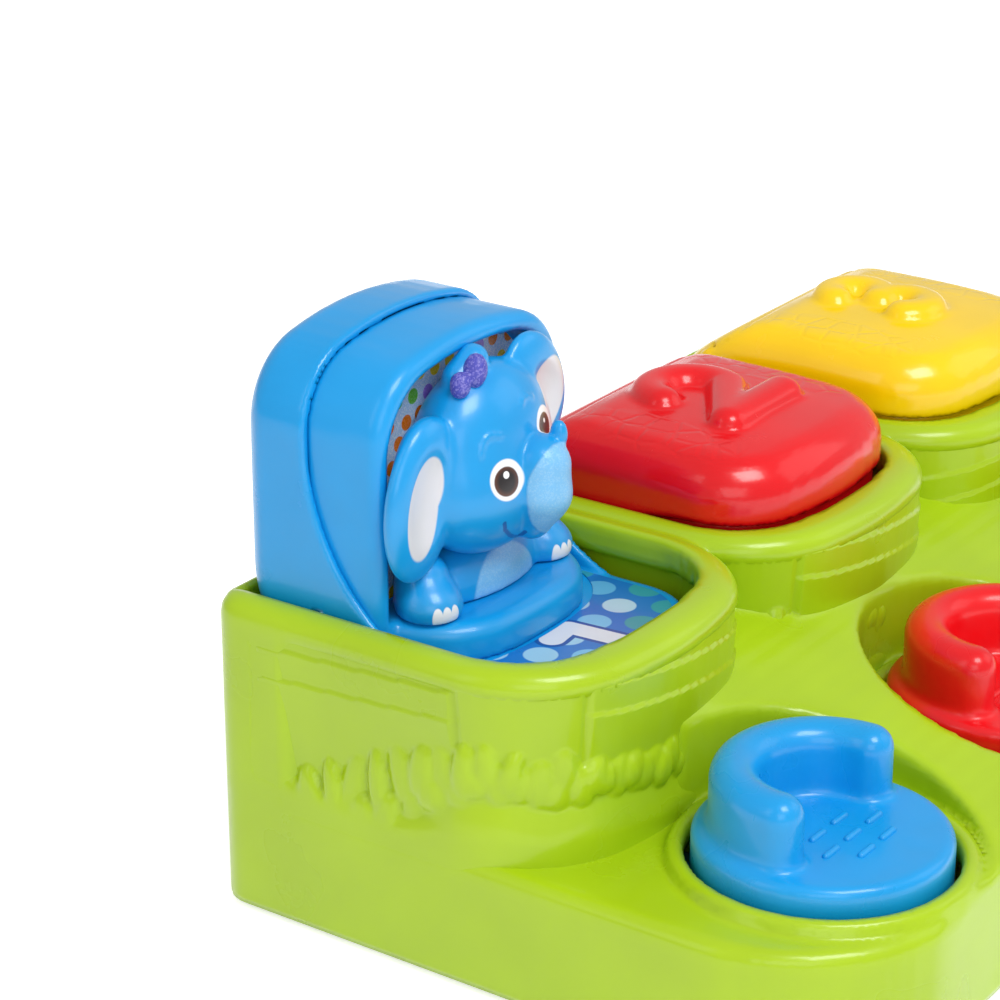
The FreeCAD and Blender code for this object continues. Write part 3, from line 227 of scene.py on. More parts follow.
def ellipsoid(x, y, z, middle, radii, lean=0.0):
    """Nearly the signed distance to an ellipsoid, turned in the face's plane by an angle in degrees."""
    dx, dy, dz = x - middle[0], y - middle[1], z - middle[2]
    turn = math.radians(lean)
    dx, dz = dx * math.cos(turn) - dz * math.sin(turn), dx * math.sin(turn) + dz * math.cos(turn)
    one = np.sqrt((dx / radii[0]) ** 2 + (dy / radii[1]) ** 2 + (dz / radii[2]) ** 2) + 1e-9
    two = np.sqrt((dx / radii[0] ** 2) ** 2 + (dy / radii[1] ** 2) ** 2 + (dz / radii[2] ** 2) ** 2) + 1e-9
    return one * (one - 1) / two


def limb(x, y, z, start, end, thick, thin):
    """A rounded limb that tapers between two points."""
    run = [b - a for a, b in zip(start, end)]
    length = sum(part * part for part in run) + 1e-12
    share = np.clip(((x - start[0]) * run[0] + (y - start[1]) * run[1] + (z - start[2]) * run[2]) / length,
                    0, 1)
    away = np.sqrt((x - start[0] - share * run[0]) ** 2 + (y - start[1] - share * run[1]) ** 2
                   + (z - start[2] - share * run[2]) ** 2)
    return away - (thick + (thin - thick) * share)


# ---------------------------------------------------------------- meshes from fields

CORNERS = [(a, b, c) for a in (0, 1) for b in (0, 1) for c in (0, 1)]


def skin(values):
    """The zero surface of a grid of distances, as points in grid steps and quads facing outwards."""
    inside = values < 0
    size = tuple(count - 1 for count in values.shape)
    mixed = np.zeros(size, bool)
    first = inside[:size[0], :size[1], :size[2]]
    for a, b, c in CORNERS[1:]:
        mixed |= inside[a:a + size[0], b:b + size[1], c:c + size[2]] != first
    cells = np.argwhere(mixed)
    number = np.full(size, -1, np.int64)
    number[mixed] = np.arange(len(cells))
    at = {corner: values[tuple((cells + corner).T)] for corner in CORNERS}
    total = np.zeros((len(cells), 3))
    count = np.zeros(len(cells))
    for axis in range(3):
        for corner in CORNERS:
            if corner[axis]:
                continue
            far = tuple(1 if part == axis else step for part, step in enumerate(corner))
            one, two = at[corner], at[far]
            crossed = (one < 0) != (two < 0)
            share = np.where(crossed, one / np.where(crossed, one - two, 1), 0)
            point = np.tile(np.array(corner, float), (len(cells), 1))
            point[:, axis] += share
            total += point * crossed[:, None]
            count += crossed
    points = cells + total / count[:, None]
    quads = []
    for axis in range(3):
        shift = np.eye(3, dtype=int)
        here = inside[tuple(slice(0, n - (k == axis)) for k, n in enumerate(values.shape))]
        there = inside[tuple(slice(int(k == axis), n) for k, n in enumerate(values.shape))]
        edges = np.argwhere(here != there)
        u, v = (axis + 1) % 3, (axis + 2) % 3
        keep = (edges[:, u] > 0) & (edges[:, v] > 0)
        keep &= (edges[:, u] < values.shape[u] - 1) & (edges[:, v] < values.shape[v] - 1)
        edges = edges[keep]
        ring = [edges - shift[u] - shift[v], edges - shift[v], edges, edges - shift[u]]
        ids = np.stack([number[tuple(part.T)] for part in ring], 1)
        back = ~inside[tuple(edges.T)]
        ids[back] = ids[back][:, ::-1]
        quads.append(ids)
    return points, np.concatenate(quads)


def sample(grid, points):
    """Values of a grid at places between its points."""
    low = np.clip(np.floor(points).astype(int), 0, np.array(grid.shape) - 2)
    part = points - low
    total = np.zeros(len(points))
    for corner in CORNERS:
        weight = np.ones(len(points))
        for axis in range(3):
            weight *= part[:, axis] if corner[axis] else 1 - part[:, axis]
        total += weight * grid[tuple((low + corner).T)]
    return total


def mesh_of(name, points, faces, normals=None):
    """A mesh from arrays, smooth, with its own normals where they are known."""
    mesh = bpy.data.meshes.new(name)
    mesh.from_pydata(points.tolist(), [], faces.tolist())
    mesh.shade_smooth()
    if normals is not None:
        length = np.linalg.norm(normals, axis=1, keepdims=True)
        mesh.normals_split_custom_set_from_vertices((normals / np.maximum(length, 1e-9)).tolist())
    return mesh


def sculpt(name, field, low, high, step, place):
    """A closed mesh round the room where a field is negative, turned and moved to its place."""
    step = step / MM
    axes = [np.arange(a, b + step, step) for a, b in zip(low, high)]
    x, y, z = axes[0][:, None, None], axes[1][None, :, None], axes[2][None, None, :]
    values = np.broadcast_to(field(x, y, z), tuple(len(axis) for axis in axes)).astype(float)
    values = np.where(np.abs(values) < 1e-6, 1e-6, values)
    points, faces = skin(values)
    slope = np.gradient(values)
    normals = np.stack([sample(part, points) for part in slope], 1)
    value = sample(values, points)
    steep = np.maximum((normals ** 2).sum(1), 1e-6)
    push = np.clip(value / steep, -0.4, 0.4)
    points = points - normals * push[:, None]
    spots = (np.array(low) + points * step) * MM
    turn = np.array(place.to_3x3())
    spots = spots @ turn.T + np.array(place.translation)
    return mesh_of(name, spots, faces, normals @ turn.T)


def lid_place(bay):
    """Where a piece shaped about the hinge axis goes: open or closed as the bay stands."""
    turn = Matrix.Rotation(math.radians(90), 4, "X") if CLOSED[bay] else Matrix.Identity(4)
    return Matrix.Translation(Vector((BAY_X[bay], HINGE_Y, HINGE_Z)) * MM) @ turn


def add_piece(name, mesh, material, body, slot, *nodes):
    """Link a finished mesh, give it its material and body, and let it stand for its CAD nodes."""
    mesh.materials.clear()
    mesh.materials.append(material)
    piece = bpy.data.objects.new(name, mesh)
    bpy.context.scene.collection.objects.link(piece)
    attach(piece, body)
    if nodes:
        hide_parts(*nodes)
    return piece


# ---------------------------------------------------------------- shader graphs

class Graph:
    """Adds nodes to a shader tree and wires them."""

    def __init__(self, tree):
        self.tree = tree

    def add(self, kind, wires=None, **settings):
        node = self.tree.nodes.new(kind)
        for key, value in settings.items():
            setattr(node, key, value)
        for key, value in (wires or {}).items():
            self.wire(node.inputs[key], value)
        return node

    def wire(self, socket, value):
        if isinstance(value, bpy.types.NodeSocket):
            self.tree.links.new(value, socket)
        else:
            socket.default_value = value

    def math(self, operation, *values, clamp=False):
        node = self.add("ShaderNodeMath", operation=operation, use_clamp=clamp)
        for socket, value in zip(node.inputs, values):
            self.wire(socket, value)
        return node.outputs[0]

    def plus(self, one, two):
        return self.math("ADD", one, two)

    def minus(self, one, two):
        return self.math("SUBTRACT", one, two)

    def times(self, one, two):
        return self.math("MULTIPLY", one, two)

    def over(self, one, two, clamp=False):
        return self.math("DIVIDE", one, two, clamp=clamp)

    def hypot(self, one, two):
        return self.math("SQRT", self.plus(self.times(one, one), self.times(two, two)))

    def parts(self, vector):
        """The X, Y and Z of a vector."""
        return self.add("ShaderNodeSeparateXYZ", {"Vector": vector}).outputs

    def mix(self, share, one, two):
        node = self.add("ShaderNodeMix", data_type="RGBA")
        for number, value in ((0, share), (6, one), (7, two)):
            if isinstance(value, tuple) and len(value) == 3:
                value = value + (1.0,)
            self.wire(node.inputs[number], value)
        return node.outputs[2]

    def ramp(self, value, low, high, start=0.0, end=1.0):
        node = self.add("ShaderNodeMapRange", interpolation_type="SMOOTHSTEP")
        for socket, item in zip(node.inputs, (value, low, high, start, end)):
            self.wire(socket, item)
        return node.outputs[0]

    def within(self, away, radius, soft):
        """A mask for what lies closer than a radius, with a soft edge."""
        return self.ramp(away, self.minus(radius, soft), self.plus(radius, soft), 1.0, 0.0)


NUMBER = "NodeSocketFloat"
VECTOR = "NodeSocketVector"


def new_group(name, takes, *gives):
    """A shader group that takes a place and some values; returns it with its graph and its two ends."""
    group = bpy.data.node_groups.new(name, "ShaderNodeTree")
    for label, value in {"Place": (0.0, 0.0, 0.0), **takes}.items():
        kind = VECTOR if isinstance(value, tuple) else NUMBER
        socket = group.interface.new_socket(label, in_out="INPUT", socket_type=kind)
        socket.default_value = value
    for label in gives:
        group.interface.new_socket(label, in_out="OUTPUT", socket_type=NUMBER)
    graph = Graph(group)
    return group, graph, graph.add("NodeGroupInput").outputs, graph.add("NodeGroupOutput").inputs


def group_named(name):
    """A shader group, built the first time that it is asked for."""
    return bpy.data.node_groups.get(name) or GROUPS[name](name)


def moulded_group(name):
    """Slow waves, a fine skin and a little wear, as on injection-moulded plastic."""
    group, graph, takes, gives = new_group(
        name, {"Wave": 22.0, "Skin": 1.2}, "Tone", "Roughness", "Height")
    slow = graph.add("ShaderNodeTexNoise", {"Vector": takes["Place"], "Detail": 2.0, "Roughness": 0.4})
    graph.wire(slow.inputs["Scale"], graph.over(1.0, takes["Wave"]))
    fine = graph.add("ShaderNodeTexNoise", {"Vector": takes["Place"], "Detail": 4.0, "Roughness": 0.6})
    graph.wire(fine.inputs["Scale"], graph.over(1.0, takes["Skin"]))
    streaks = graph.add("ShaderNodeTexNoise", {"Vector": takes["Place"], "Scale": 0.09, "Detail": 4.0})
    scuff = graph.ramp(streaks.outputs["Fac"], 0.5, 0.8)
    graph.wire(gives["Tone"], graph.ramp(slow.outputs["Fac"], 0.25, 0.75, 0.955, 1.035))
    rough = graph.ramp(slow.outputs["Fac"], 0.3, 0.7, 0.0, 0.05)
    rough = graph.plus(rough, graph.times(scuff, 0.07))
    graph.wire(gives["Roughness"], rough)
    graph.wire(gives["Height"], graph.plus(slow.outputs["Fac"], graph.times(fine.outputs["Fac"], 0.05)))
    return group


def oval_group(name):
    """A painted oval on the front of a face, seen along the face's own depth."""
    group, graph, takes, gives = new_group(
        name, {"Across": 0.0, "Up": 0.0, "Half Width": 1.0, "Half Height": 1.0, "Turn": 0.0,
               "Edge": 0.04}, "Mask")
    parts = graph.parts(takes["Place"])
    dx = graph.minus(parts["X"], takes["Across"])
    dz = graph.minus(parts["Z"], takes["Up"])
    cosine = graph.math("COSINE", takes["Turn"])
    sine = graph.math("SINE", takes["Turn"])
    along = graph.plus(graph.times(dx, cosine), graph.times(dz, sine))
    over = graph.minus(graph.times(dz, cosine), graph.times(dx, sine))
    along = graph.over(along, takes["Half Width"])
    over = graph.over(over, takes["Half Height"])
    graph.wire(gives["Mask"], graph.within(graph.hypot(along, over), 1.0, takes["Edge"]))
    return group


def ball_group(name):
    """A painted place on a surface: all that lies within an ellipsoid."""
    group, graph, takes, gives = new_group(
        name, {"Middle": (0.0, 0.0, 0.0), "Radii": (1.0, 1.0, 1.0), "Edge": 0.05}, "Mask")
    away = graph.add("ShaderNodeVectorMath", {0: takes["Place"], 1: takes["Middle"]}, operation="SUBTRACT")
    scaled = graph.add("ShaderNodeVectorMath", {0: away.outputs[0], 1: takes["Radii"]}, operation="DIVIDE")
    length = graph.add("ShaderNodeVectorMath", {0: scaled.outputs[0]}, operation="LENGTH").outputs["Value"]
    graph.wire(gives["Mask"], graph.within(length, 1.0, takes["Edge"]))
    return group


def bar_group(name):
    """A painted bar with round ends, between two points of a plane."""
    group, graph, takes, gives = new_group(
        name, {"Start Across": 0.0, "Start Up": 0.0, "Run Across": 1.0, "Run Up": 0.0,
               "Half Width": 1.0, "Edge": 0.15}, "Mask")
    parts = graph.parts(takes["Place"])
    dx = graph.minus(parts["X"], takes["Start Across"])
    dz = graph.minus(parts["Z"], takes["Start Up"])
    dot = graph.plus(graph.times(dx, takes["Run Across"]), graph.times(dz, takes["Run Up"]))
    length = graph.plus(graph.times(takes["Run Across"], takes["Run Across"]),
                        graph.times(takes["Run Up"], takes["Run Up"]))
    share = graph.over(dot, length, clamp=True)
    ex = graph.minus(dx, graph.times(share, takes["Run Across"]))
    ez = graph.minus(dz, graph.times(share, takes["Run Up"]))
    graph.wire(gives["Mask"], graph.within(graph.hypot(ex, ez), takes["Half Width"], takes["Edge"]))
    return group


ROW_SPACING = 0.866
DOT_EDGE = 0.02


def dots_group(name):
    """Staggered rows of dots, with a number for each dot that picks its colour."""
    group, graph, takes, gives = new_group(
        name, {"Pitch": 8.0, "Radius": 0.3, "Scatter": 0.0}, "Mask", "Pick")
    parts = graph.parts(takes["Place"])
    u = graph.over(parts["X"], takes["Pitch"])
    w = graph.over(graph.over(parts["Z"], takes["Pitch"]), ROW_SPACING)
    row = graph.math("FLOOR", w)
    odd = graph.times(graph.math("MODULO", graph.math("ABSOLUTE", row), 2.0), 0.5)
    u = graph.plus(u, odd)
    column = graph.math("FLOOR", u)
    cell = graph.add("ShaderNodeCombineXYZ", {"X": column, "Y": row}).outputs[0]
    chance = graph.add("ShaderNodeTexWhiteNoise", {"Vector": cell}, noise_dimensions="3D").outputs
    shift = graph.add("ShaderNodeSeparateColor", {"Color": chance["Color"]}).outputs
    du = graph.minus(graph.minus(u, column), 0.5)
    dw = graph.times(graph.minus(graph.minus(w, row), 0.5), ROW_SPACING)
    du = graph.plus(du, graph.times(graph.minus(shift[0], 0.5), takes["Scatter"]))
    dw = graph.plus(dw, graph.times(graph.minus(shift[1], 0.5), takes["Scatter"]))
    graph.wire(gives["Mask"], graph.within(graph.hypot(du, dw), takes["Radius"], DOT_EDGE))
    graph.wire(gives["Pick"], chance["Value"])
    return group


def glitter_group(name):
    """Fine flakes that catch the light here and there."""
    group, graph, takes, gives = new_group(name, {"Flake": 0.35}, "Sparkle", "Height")
    flakes = graph.add("ShaderNodeTexVoronoi", {"Vector": takes["Place"]})
    graph.wire(flakes.inputs["Scale"], graph.over(1.0, takes["Flake"]))
    pick = graph.add("ShaderNodeSeparateColor", {"Color": flakes.outputs["Color"]}).outputs
    graph.wire(gives["Sparkle"], graph.ramp(pick[0], 0.45, 0.95))
    graph.wire(gives["Height"], pick[1])
    return group


def scales_group(name):
    """Faint overlapping scales pressed into a lid beside its numeral."""
    group, graph, takes, gives = new_group(name, {"Size": 6.0}, "Height")
    cells = graph.add("ShaderNodeTexVoronoi", {"Vector": takes["Place"], "Randomness": 0.75},
                      feature="DISTANCE_TO_EDGE")
    graph.wire(cells.inputs["Scale"], graph.over(1.0, takes["Size"]))
    graph.wire(gives["Height"], graph.ramp(cells.outputs["Distance"], 0.0, 0.16))
    return group


GROUPS = {
    "moulded_skin": moulded_group,
    "painted_oval": oval_group,
    "painted_ball": ball_group,
    "painted_bar": bar_group,
    "printed_dots": dots_group,
    "glitter_flakes": glitter_group,
    "pressed_scales": scales_group,
}


class Finish(Graph):
    """A material in the making: its colour, roughness and height are worked out, then joined up."""

    def __init__(self, name, bay=None):
        self.material = bpy.data.materials.new(name)
        self.material.use_nodes = True
        super().__init__(self.material.node_tree)
        self.tree.nodes.clear()
        self.shader = self.add("ShaderNodeBsdfPrincipled")
        self.out = self.add("ShaderNodeOutputMaterial")
        self.tree.links.new(self.shader.outputs[0], self.out.inputs[0])
        spot = (0.0, 0.0, 0.0)
        turn = (0.0, 0.0, 0.0)
        if bay is not None:
            spot = tuple(lid_place(bay).translation)
            turn = (math.radians(90) if CLOSED[bay] else 0.0, 0.0, 0.0)
        coordinates = self.add("ShaderNodeTexCoord")
        wires = {"Vector": coordinates.outputs["Object"], "Location": spot, "Rotation": turn,
                 "Scale": (MM, MM, MM)}
        self.place = self.add("ShaderNodeMapping", wires, vector_type="TEXTURE").outputs[0]

    def group(self, name, **values):
        node = self.add("ShaderNodeGroup", node_tree=group_named(name))
        self.wire(node.inputs["Place"], self.place)
        for label, value in values.items():
            self.wire(node.inputs[label.replace("_", " ")], value)
        return node.outputs

    def oval(self, across, up, wide, tall, turn=0.0, edge=0.04):
        return self.group("painted_oval", Across=across, Up=up, Half_Width=wide, Half_Height=tall,
                          Turn=math.radians(turn), Edge=edge)["Mask"]

    def ball(self, middle, radii, edge=0.05):
        if not isinstance(radii, tuple):
            radii = (radii, radii, radii)
        return self.group("painted_ball", Middle=middle, Radii=radii, Edge=edge)["Mask"]

    def bar(self, start, end, half, edge=0.15, place=None):
        made = self.group("painted_bar", Start_Across=start[0], Start_Up=start[1],
                          Run_Across=end[0] - start[0], Run_Up=end[1] - start[1],
                          Half_Width=half, Edge=edge)
        if place is not None:
            self.tree.links.new(place, made["Mask"].node.inputs["Place"])
        return made["Mask"]

    def ahead_of(self, depth, soft=1.0):
        """A mask for what stands further forward than a depth."""
        return self.ramp(self.parts(self.place)["Y"], depth - soft, depth + soft, 1.0, 0.0)

    def both(self, *masks):
        total = masks[0]
        for mask in masks[1:]:
            total = self.times(total, mask)
        return total

    def either(self, *masks):
        total = masks[0]
        for mask in masks[1:]:
            total = self.math("MAXIMUM", total, mask)
        return total

    def close(self, colour, roughness, height=None, depth=0.05, metallic=0.0, **constants):
        self.wire(self.shader.inputs["Base Color"], colour)
        self.wire(self.shader.inputs["Roughness"], roughness)
        self.shader.inputs["Metallic"].default_value = metallic
        for label, value in constants.items():
            self.shader.inputs[label.replace("_", " ")].default_value = value
        if height is not None:
            bump = self.add("ShaderNodeBump", {"Height": height, "Distance": depth * MM, "Strength": 1.0})
            self.tree.links.new(bump.outputs[0], self.shader.inputs["Normal"])
        return self.material

    def tone(self, colour, tone):
        """A colour made a little lighter or darker by a value that changes over the surface."""
        scaled = self.add("ShaderNodeVectorMath", operation="SCALE")
        self.wire(scaled.inputs["Scale"], tone)
        if isinstance(colour, bpy.types.NodeSocket):
            self.tree.links.new(colour, scaled.inputs[0])
        else:
            scaled.inputs[0].default_value = tuple(colour)[:3]
        return scaled.outputs[0]


def plastic(name, colour, roughness=0.24, bay=None, wave=24.0, depth=0.35, scales=False):
    """Glossy moulded plastic of one colour."""
    made = bpy.data.materials.get(name)
    if made:
        return made
    finish = Finish(name, bay)
    skin_of = finish.group("moulded_skin", Wave=wave, Skin=1.4)
    height = skin_of["Height"]
    if scales:
        patches = finish.either(finish.oval(-29, 30, 8, 26, 0, 0.2), finish.oval(29, 30, 8, 26, 0, 0.2))
        pressed = finish.group("pressed_scales", Size=7.0)["Height"]
        height = finish.plus(height, finish.times(finish.both(patches, pressed), 0.4))
    return finish.close(finish.tone(tuple(colour), skin_of["Tone"]),
                        finish.plus(roughness, skin_of["Roughness"]), height, depth,
                        IOR=1.45, Coat_Weight=0.2, Coat_Roughness=0.06)


def colours():
    return bpy.context.scene.toy_colours


def sizes():
    return bpy.context.scene.toy_sizes


def lid_colour(bay):
    return (colours().blue, colours().red, colours().yellow)[bay]


LID_SLOT = ("blue_plastic", "red_plastic", "yellow_plastic")


# ---------------------------------------------------------------- housing

# An arch is given as its half width, its reach from the hinge, its crown radius and its corner radius.
# WELL, LIP and PAD_HOLE are radii round the middle of a pad.
TUB = (51.0, 83.1, 121.0, 34.0)
OPENING = (42.5, 72.1, 111.5, 23.5)
FACING = 3.2
APRON_HALF = 100.0
APRON_END = 19.8
APRON_FRONT_Z = 37.0
APRON_END_Z = 72.0
APRON_COSINE = 0.956
SHELL_TOP = 36.0
WELL = 40.0
LIP = 35.8
PAD_HOLE = 33.6


def shell_plan(gap):
    """The toy's outline from above, smaller all round by a gap."""
    return round_rect(HALF_X - gap, gap - HALF_Y, HALF_Y - gap, FRONT_CORNER - gap, REAR_CORNER - gap)


def tub_inset(gap):
    """A tub's outline smaller all round by a gap."""
    half, reach, crown, corner = TUB
    return arch(half - gap, reach - gap, crown - gap, corner - gap, -26.75 + gap, 8.0 - gap)


def apron_height(y):
    """The sloping apron's height over the front part of the toy."""
    return APRON_FRONT_Z + (APRON_END_Z - APRON_FRONT_Z) * (y + HALF_Y) / (APRON_END + HALF_Y)


def housing_field(x, y, z):
    """The moulded shell: three tubs over a sloping apron, hollow below."""
    out = HINGE_Y - y
    footprint = outline_distance(shell_plan(0.0), x, y)
    solid = slab(footprint, between(z, -40.0, SHELL_TOP), 3.0)
    above = (z - apron_height(y)) * APRON_COSINE
    apron = meet(np.abs(x) - APRON_HALF, above, y - APRON_END)
    room = slab(outline_distance(shell_plan(WALL), x, y), z - 33.4, 0.5)
    tubs = hollows = wells = well_walls = 1e9
    for middle in BAY_X:
        u = x - middle
        plan = outline_distance(tub_inset(0.0), u, out)
        drop = unit((z - 29.0) / 2.0) * unit((81.0 - z) / 4.0)
        front = 0.2 * unit((out + 15.0) / 2.0) + FACING * unit((out + 3.0) / 2.0)
        tubs = join(tubs, slab(plan + drop * front, between(z, -60.0, RIM), 5.0))
        hollows = join(hollows, meet(outline_distance(tub_inset(WALL + 3.4), u, out), z - RIM + WALL))
        away = np.hypot(u, y - PAD_Y)
        wells = join(wells, meet(away - WELL, SHELL_TOP - z))
        well_walls = join(well_walls, away - (WELL + WALL))
    solid = melt(melt(solid, carve(apron, wells, 2.0), 3.0), tubs, 3.0)
    below = (z - apron_height(y) + WALL) * APRON_COSINE
    apron_room = meet(np.abs(x) - (APRON_HALF - WALL), below, y - 17.0, -tubs, -well_walls,
                      (WALL - HALF_Y) - y)
    solid = meet(solid, -join(room, apron_room, hollows))
    back = meet(between(y, HALF_Y - WALL, HALF_Y), between(z, 34.0, 82.0))
    solid = join(solid, slab(between(x, -143.0, 143.0), back, 0.3))
    for middle in BAY_X:
        u = x - middle
        away = np.hypot(u, y - PAD_Y)
        solid = melt(solid, slab(np.abs(away - LIP) - 2.2, between(z, 33.4, 39.5), 1.6), 0.8)
        skirt = outline_distance(arch(*OPENING, -24.15), u, out)
        solid = join(solid, meet(np.abs(skirt - 1.1) - 1.1, between(z, 79.0, 86.0)))
        for side in (-1, 1):
            block = meet(between(side * u, 42.5, 49.7), between(y, 60.75, 73.75), between(z, 77.0, 85.7))
            solid = join(solid, block)
        pin = meet(np.hypot(y - HINGE_Y, z - HINGE_Z) - 1.55, np.abs(u) - 46.8)
        solid = meet(solid, -meet(skirt, 78.0 - z), -(away - PAD_HOLE), -pin)
    return meet(solid, footprint + 0.02, 1.2 - z)


# The upper and lower edge of the band of leaves: distances along the wall and heights.
CREST = ((-90, -68, -52, -35, -24, -16, -8, 0, 7, 12, 27, 52, 75, 95),
         (40, 48.5, 56.5, 63.5, 67, 67, 65, 65, 66, 62.5, 61, 55.5, 49, 42))
VALLEY = ((-86, -69, -53, -33, -24, -11, 0, 8, 30, 55, 80), (34, 33, 37, 47, 52, 54, 51.5, 53, 50, 46, 42))
LEFT_GROOVE = -23.9
RIGHT_GROOVE = 10.4
WALL_INSET = 0.06


def leaves(seed):
    """Overlapping leaves along a tub's wall: how far along and up, half length, half width and turn."""
    random = np.random.default_rng(seed)
    made = []
    along = -84.0
    while along < 64.0:
        crest = float(np.interp(along, *CREST))
        valley = float(np.interp(along, *VALLEY))
        half = (crest - valley) / 2
        made.append((along, (crest + valley) / 2 + random.uniform(-1.0, 1.2),
                     half + random.uniform(-0.5, 1.5), random.uniform(3.2, 4.8),
                     random.uniform(-18.0, 18.0)))
        made.append((along + random.uniform(2.0, 4.5), valley + random.uniform(2.0, 4.5),
                     random.uniform(4.5, 6.0), random.uniform(3.4, 4.8), random.uniform(-24.0, 24.0)))
        along += random.uniform(5.6, 8.4)
    return made


def wall_relief(along, z, step, rise, seed):
    """How far a tub's wall stands back, in millimetres: planks above, a band of leaves, plain below."""
    crest = np.interp(along, *CREST)
    valley = np.interp(along, *VALLEY)
    left = along < LEFT_GROOVE
    past_left = along - LEFT_GROOVE
    past_right = along - RIGHT_GROOVE
    first = np.where(left, 79.8 + past_left * 0.05, 83.3 - past_right * 0.13)
    second = np.where(left, 72.4 + past_left * 0.062, 75.4 - past_right * 0.13)
    foot = crest - 6.0
    planks = -rise * (1 - unit((z - foot) / np.maximum(second - foot, 1.0)))
    planks = np.where(z > second, -step * unit((first - z) / 7.5), planks)
    planks = np.where(z > first, -step * unit((86.0 - z) / 5.0), planks)
    smooth = -rise * (1 - unit((z - foot) / (84.0 - foot)))
    planks = np.where((past_left > 0) & (past_right < 0), smooth, planks) - WALL_INSET
    for groove in (-84.5, LEFT_GROOVE, RIGHT_GROOVE):
        planks = planks - step * 0.9 * np.exp(-((along - groove) / 0.55) ** 2)
    lower = ease(unit((valley + 2.0 - z) / 13.0))
    base = np.where(z > foot, planks, -WALL_INSET - rise * 0.9) * (1 - lower) - WALL_INSET * lower
    dome = np.zeros(np.broadcast(along, z).shape)
    for middle, up, long, wide, turn in leaves(seed):
        angle = math.radians(turn)
        dx, dz = along - middle, z - up
        a = (dz * math.cos(angle) + dx * math.sin(angle)) / long
        b = (dx * math.cos(angle) - dz * math.sin(angle)) / (wide * np.clip(1.0 - 0.12 * a, 0.5, 1.4))
        one = unit(1.0 - a * a - b * b) ** 0.5 * (1.0 - 0.07 * np.exp(-(b / 0.16) ** 2))
        dome = np.maximum(dome, one * (0.82 + 0.18 * math.sin(middle * 2.3 + up)))
    relief = np.maximum(base, np.where(dome > 0.02, -WALL_INSET - rise * (1 - dome), -9.0)) + WALL_INSET
    fade = unit((along + 86.0) / 1.5) * unit((110.0 - along) / 20.0)
    return relief * ease(unit((z - 37.0) / 7.0)) * fade - WALL_INSET


def wall_path():
    """A tub's outline in short steps, from its left rear side round the front to its right."""
    points = tub_inset(0.0)
    run = [point for point in points if point[1] > -15.0]
    run.sort(key=lambda point: math.atan2(point[0], point[1] - 20.0))
    run = [(-51.0, -16.0)] + run + [(51.0, -16.0)]
    dense = []
    for (ax, ay), (bx, by) in zip(run, run[1:]):
        length = math.hypot(bx - ax, by - ay)
        if length < 1e-6:
            continue
        count = max(1, int(length / 0.8))
        for number in range(count):
            share = number / count
            dense.append((ax + (bx - ax) * share, ay + (by - ay) * share))
    dense.append(run[-1])
    return np.array(dense)


def wall_mesh(bay, step, rise, seed):
    """The facing of a tub's wall: planks and leaves in relief, a thin closed shell."""
    path = wall_path()
    lengths = np.concatenate([[0], np.cumsum(np.hypot(*np.diff(path, axis=0).T))])
    corner = np.argmin(np.hypot(path[:, 0] + 42.0, path[:, 1] - 70.0))
    along = lengths - lengths[corner]
    tangent = np.gradient(path, axis=0)
    tangent /= np.linalg.norm(tangent, axis=1, keepdims=True)
    normal = np.stack([-tangent[:, 1], tangent[:, 0]], 1)
    heights = np.arange(30.4, 82.21, 0.6)
    measure = along[0] + along[-1] - along if bay == 2 else along
    depth = wall_relief(measure[:, None], heights[None, :], step, rise, seed + bay)
    rows, columns = depth.shape
    both = []
    for out in (depth, np.full(depth.shape, -FACING)):
        side = np.zeros((rows, columns, 3))
        side[:, :, :2] = path[:, None] + normal[:, None] * out[:, :, None]
        side[:, :, 2] = heights
        both.append(side.reshape(-1, 3))
    sheet = np.concatenate(both)
    spots = np.stack([sheet[:, 0] + BAY_X[bay], HINGE_Y - sheet[:, 1], sheet[:, 2]], 1)
    ids = np.arange(rows * columns).reshape(rows, columns)
    a, b, c, d = ids[:-1, :-1], ids[1:, :-1], ids[1:, 1:], ids[:-1, 1:]
    front = np.stack([a, d, c, b], -1).reshape(-1, 4)
    shift = rows * columns
    rear = front[:, ::-1] + shift
    rim = []
    border = list(ids[:, 0]) + list(ids[-1, 1:]) + list(ids[-2::-1, -1]) + list(ids[0, -2:0:-1])
    for one, two in zip(border, border[1:] + border[:1]):
        rim.append((one, two, two + shift, one + shift))
    faces = np.concatenate([front, rear, np.array(rim)])
    mesh = bpy.data.meshes.new(f"tub_wall_{bay + 1}")
    mesh.from_pydata((spots * MM).tolist(), [], faces.tolist())
    tidy_normals(mesh)
    mesh.shade_smooth()
    return mesh


def tidy_normals(mesh):
    """Turn a closed mesh's faces outwards."""
    work = bmesh.new()
    work.from_mesh(mesh)
    bmesh.ops.recalc_face_normals(work, faces=work.faces)
    work.to_mesh(mesh)
    work.free()


class TOY_OT_housing(bpy.types.Operator):
    """Mould the three tubs and the apron, with planks and leaves in relief on their walls"""

    bl_idname = "toy.housing"
    bl_label = "Housing"

    def execute(self, context):
        lime = plastic("lime_moulding", colours().housing, 0.27, wave=30.0, depth=0.4)
        shell = sculpt("housing", housing_field, (-152.7, -95.7, -0.5), (152.7, 95.7, 88.6),
                       sizes().housing_grid, Matrix.Identity(4))
        add_piece("housing", shell, lime, "base", "housing_plastic", "top_housing")
        for bay in range(3):
            wall = wall_mesh(bay, sizes().plank_step / MM, sizes().leaf_rise / MM, sizes().leaf_seed)
            add_piece(f"tub_wall_{bay + 1}", wall, lime, "base", "housing_plastic")
        return {"FINISHED"}


# ---------------------------------------------------------------- lids

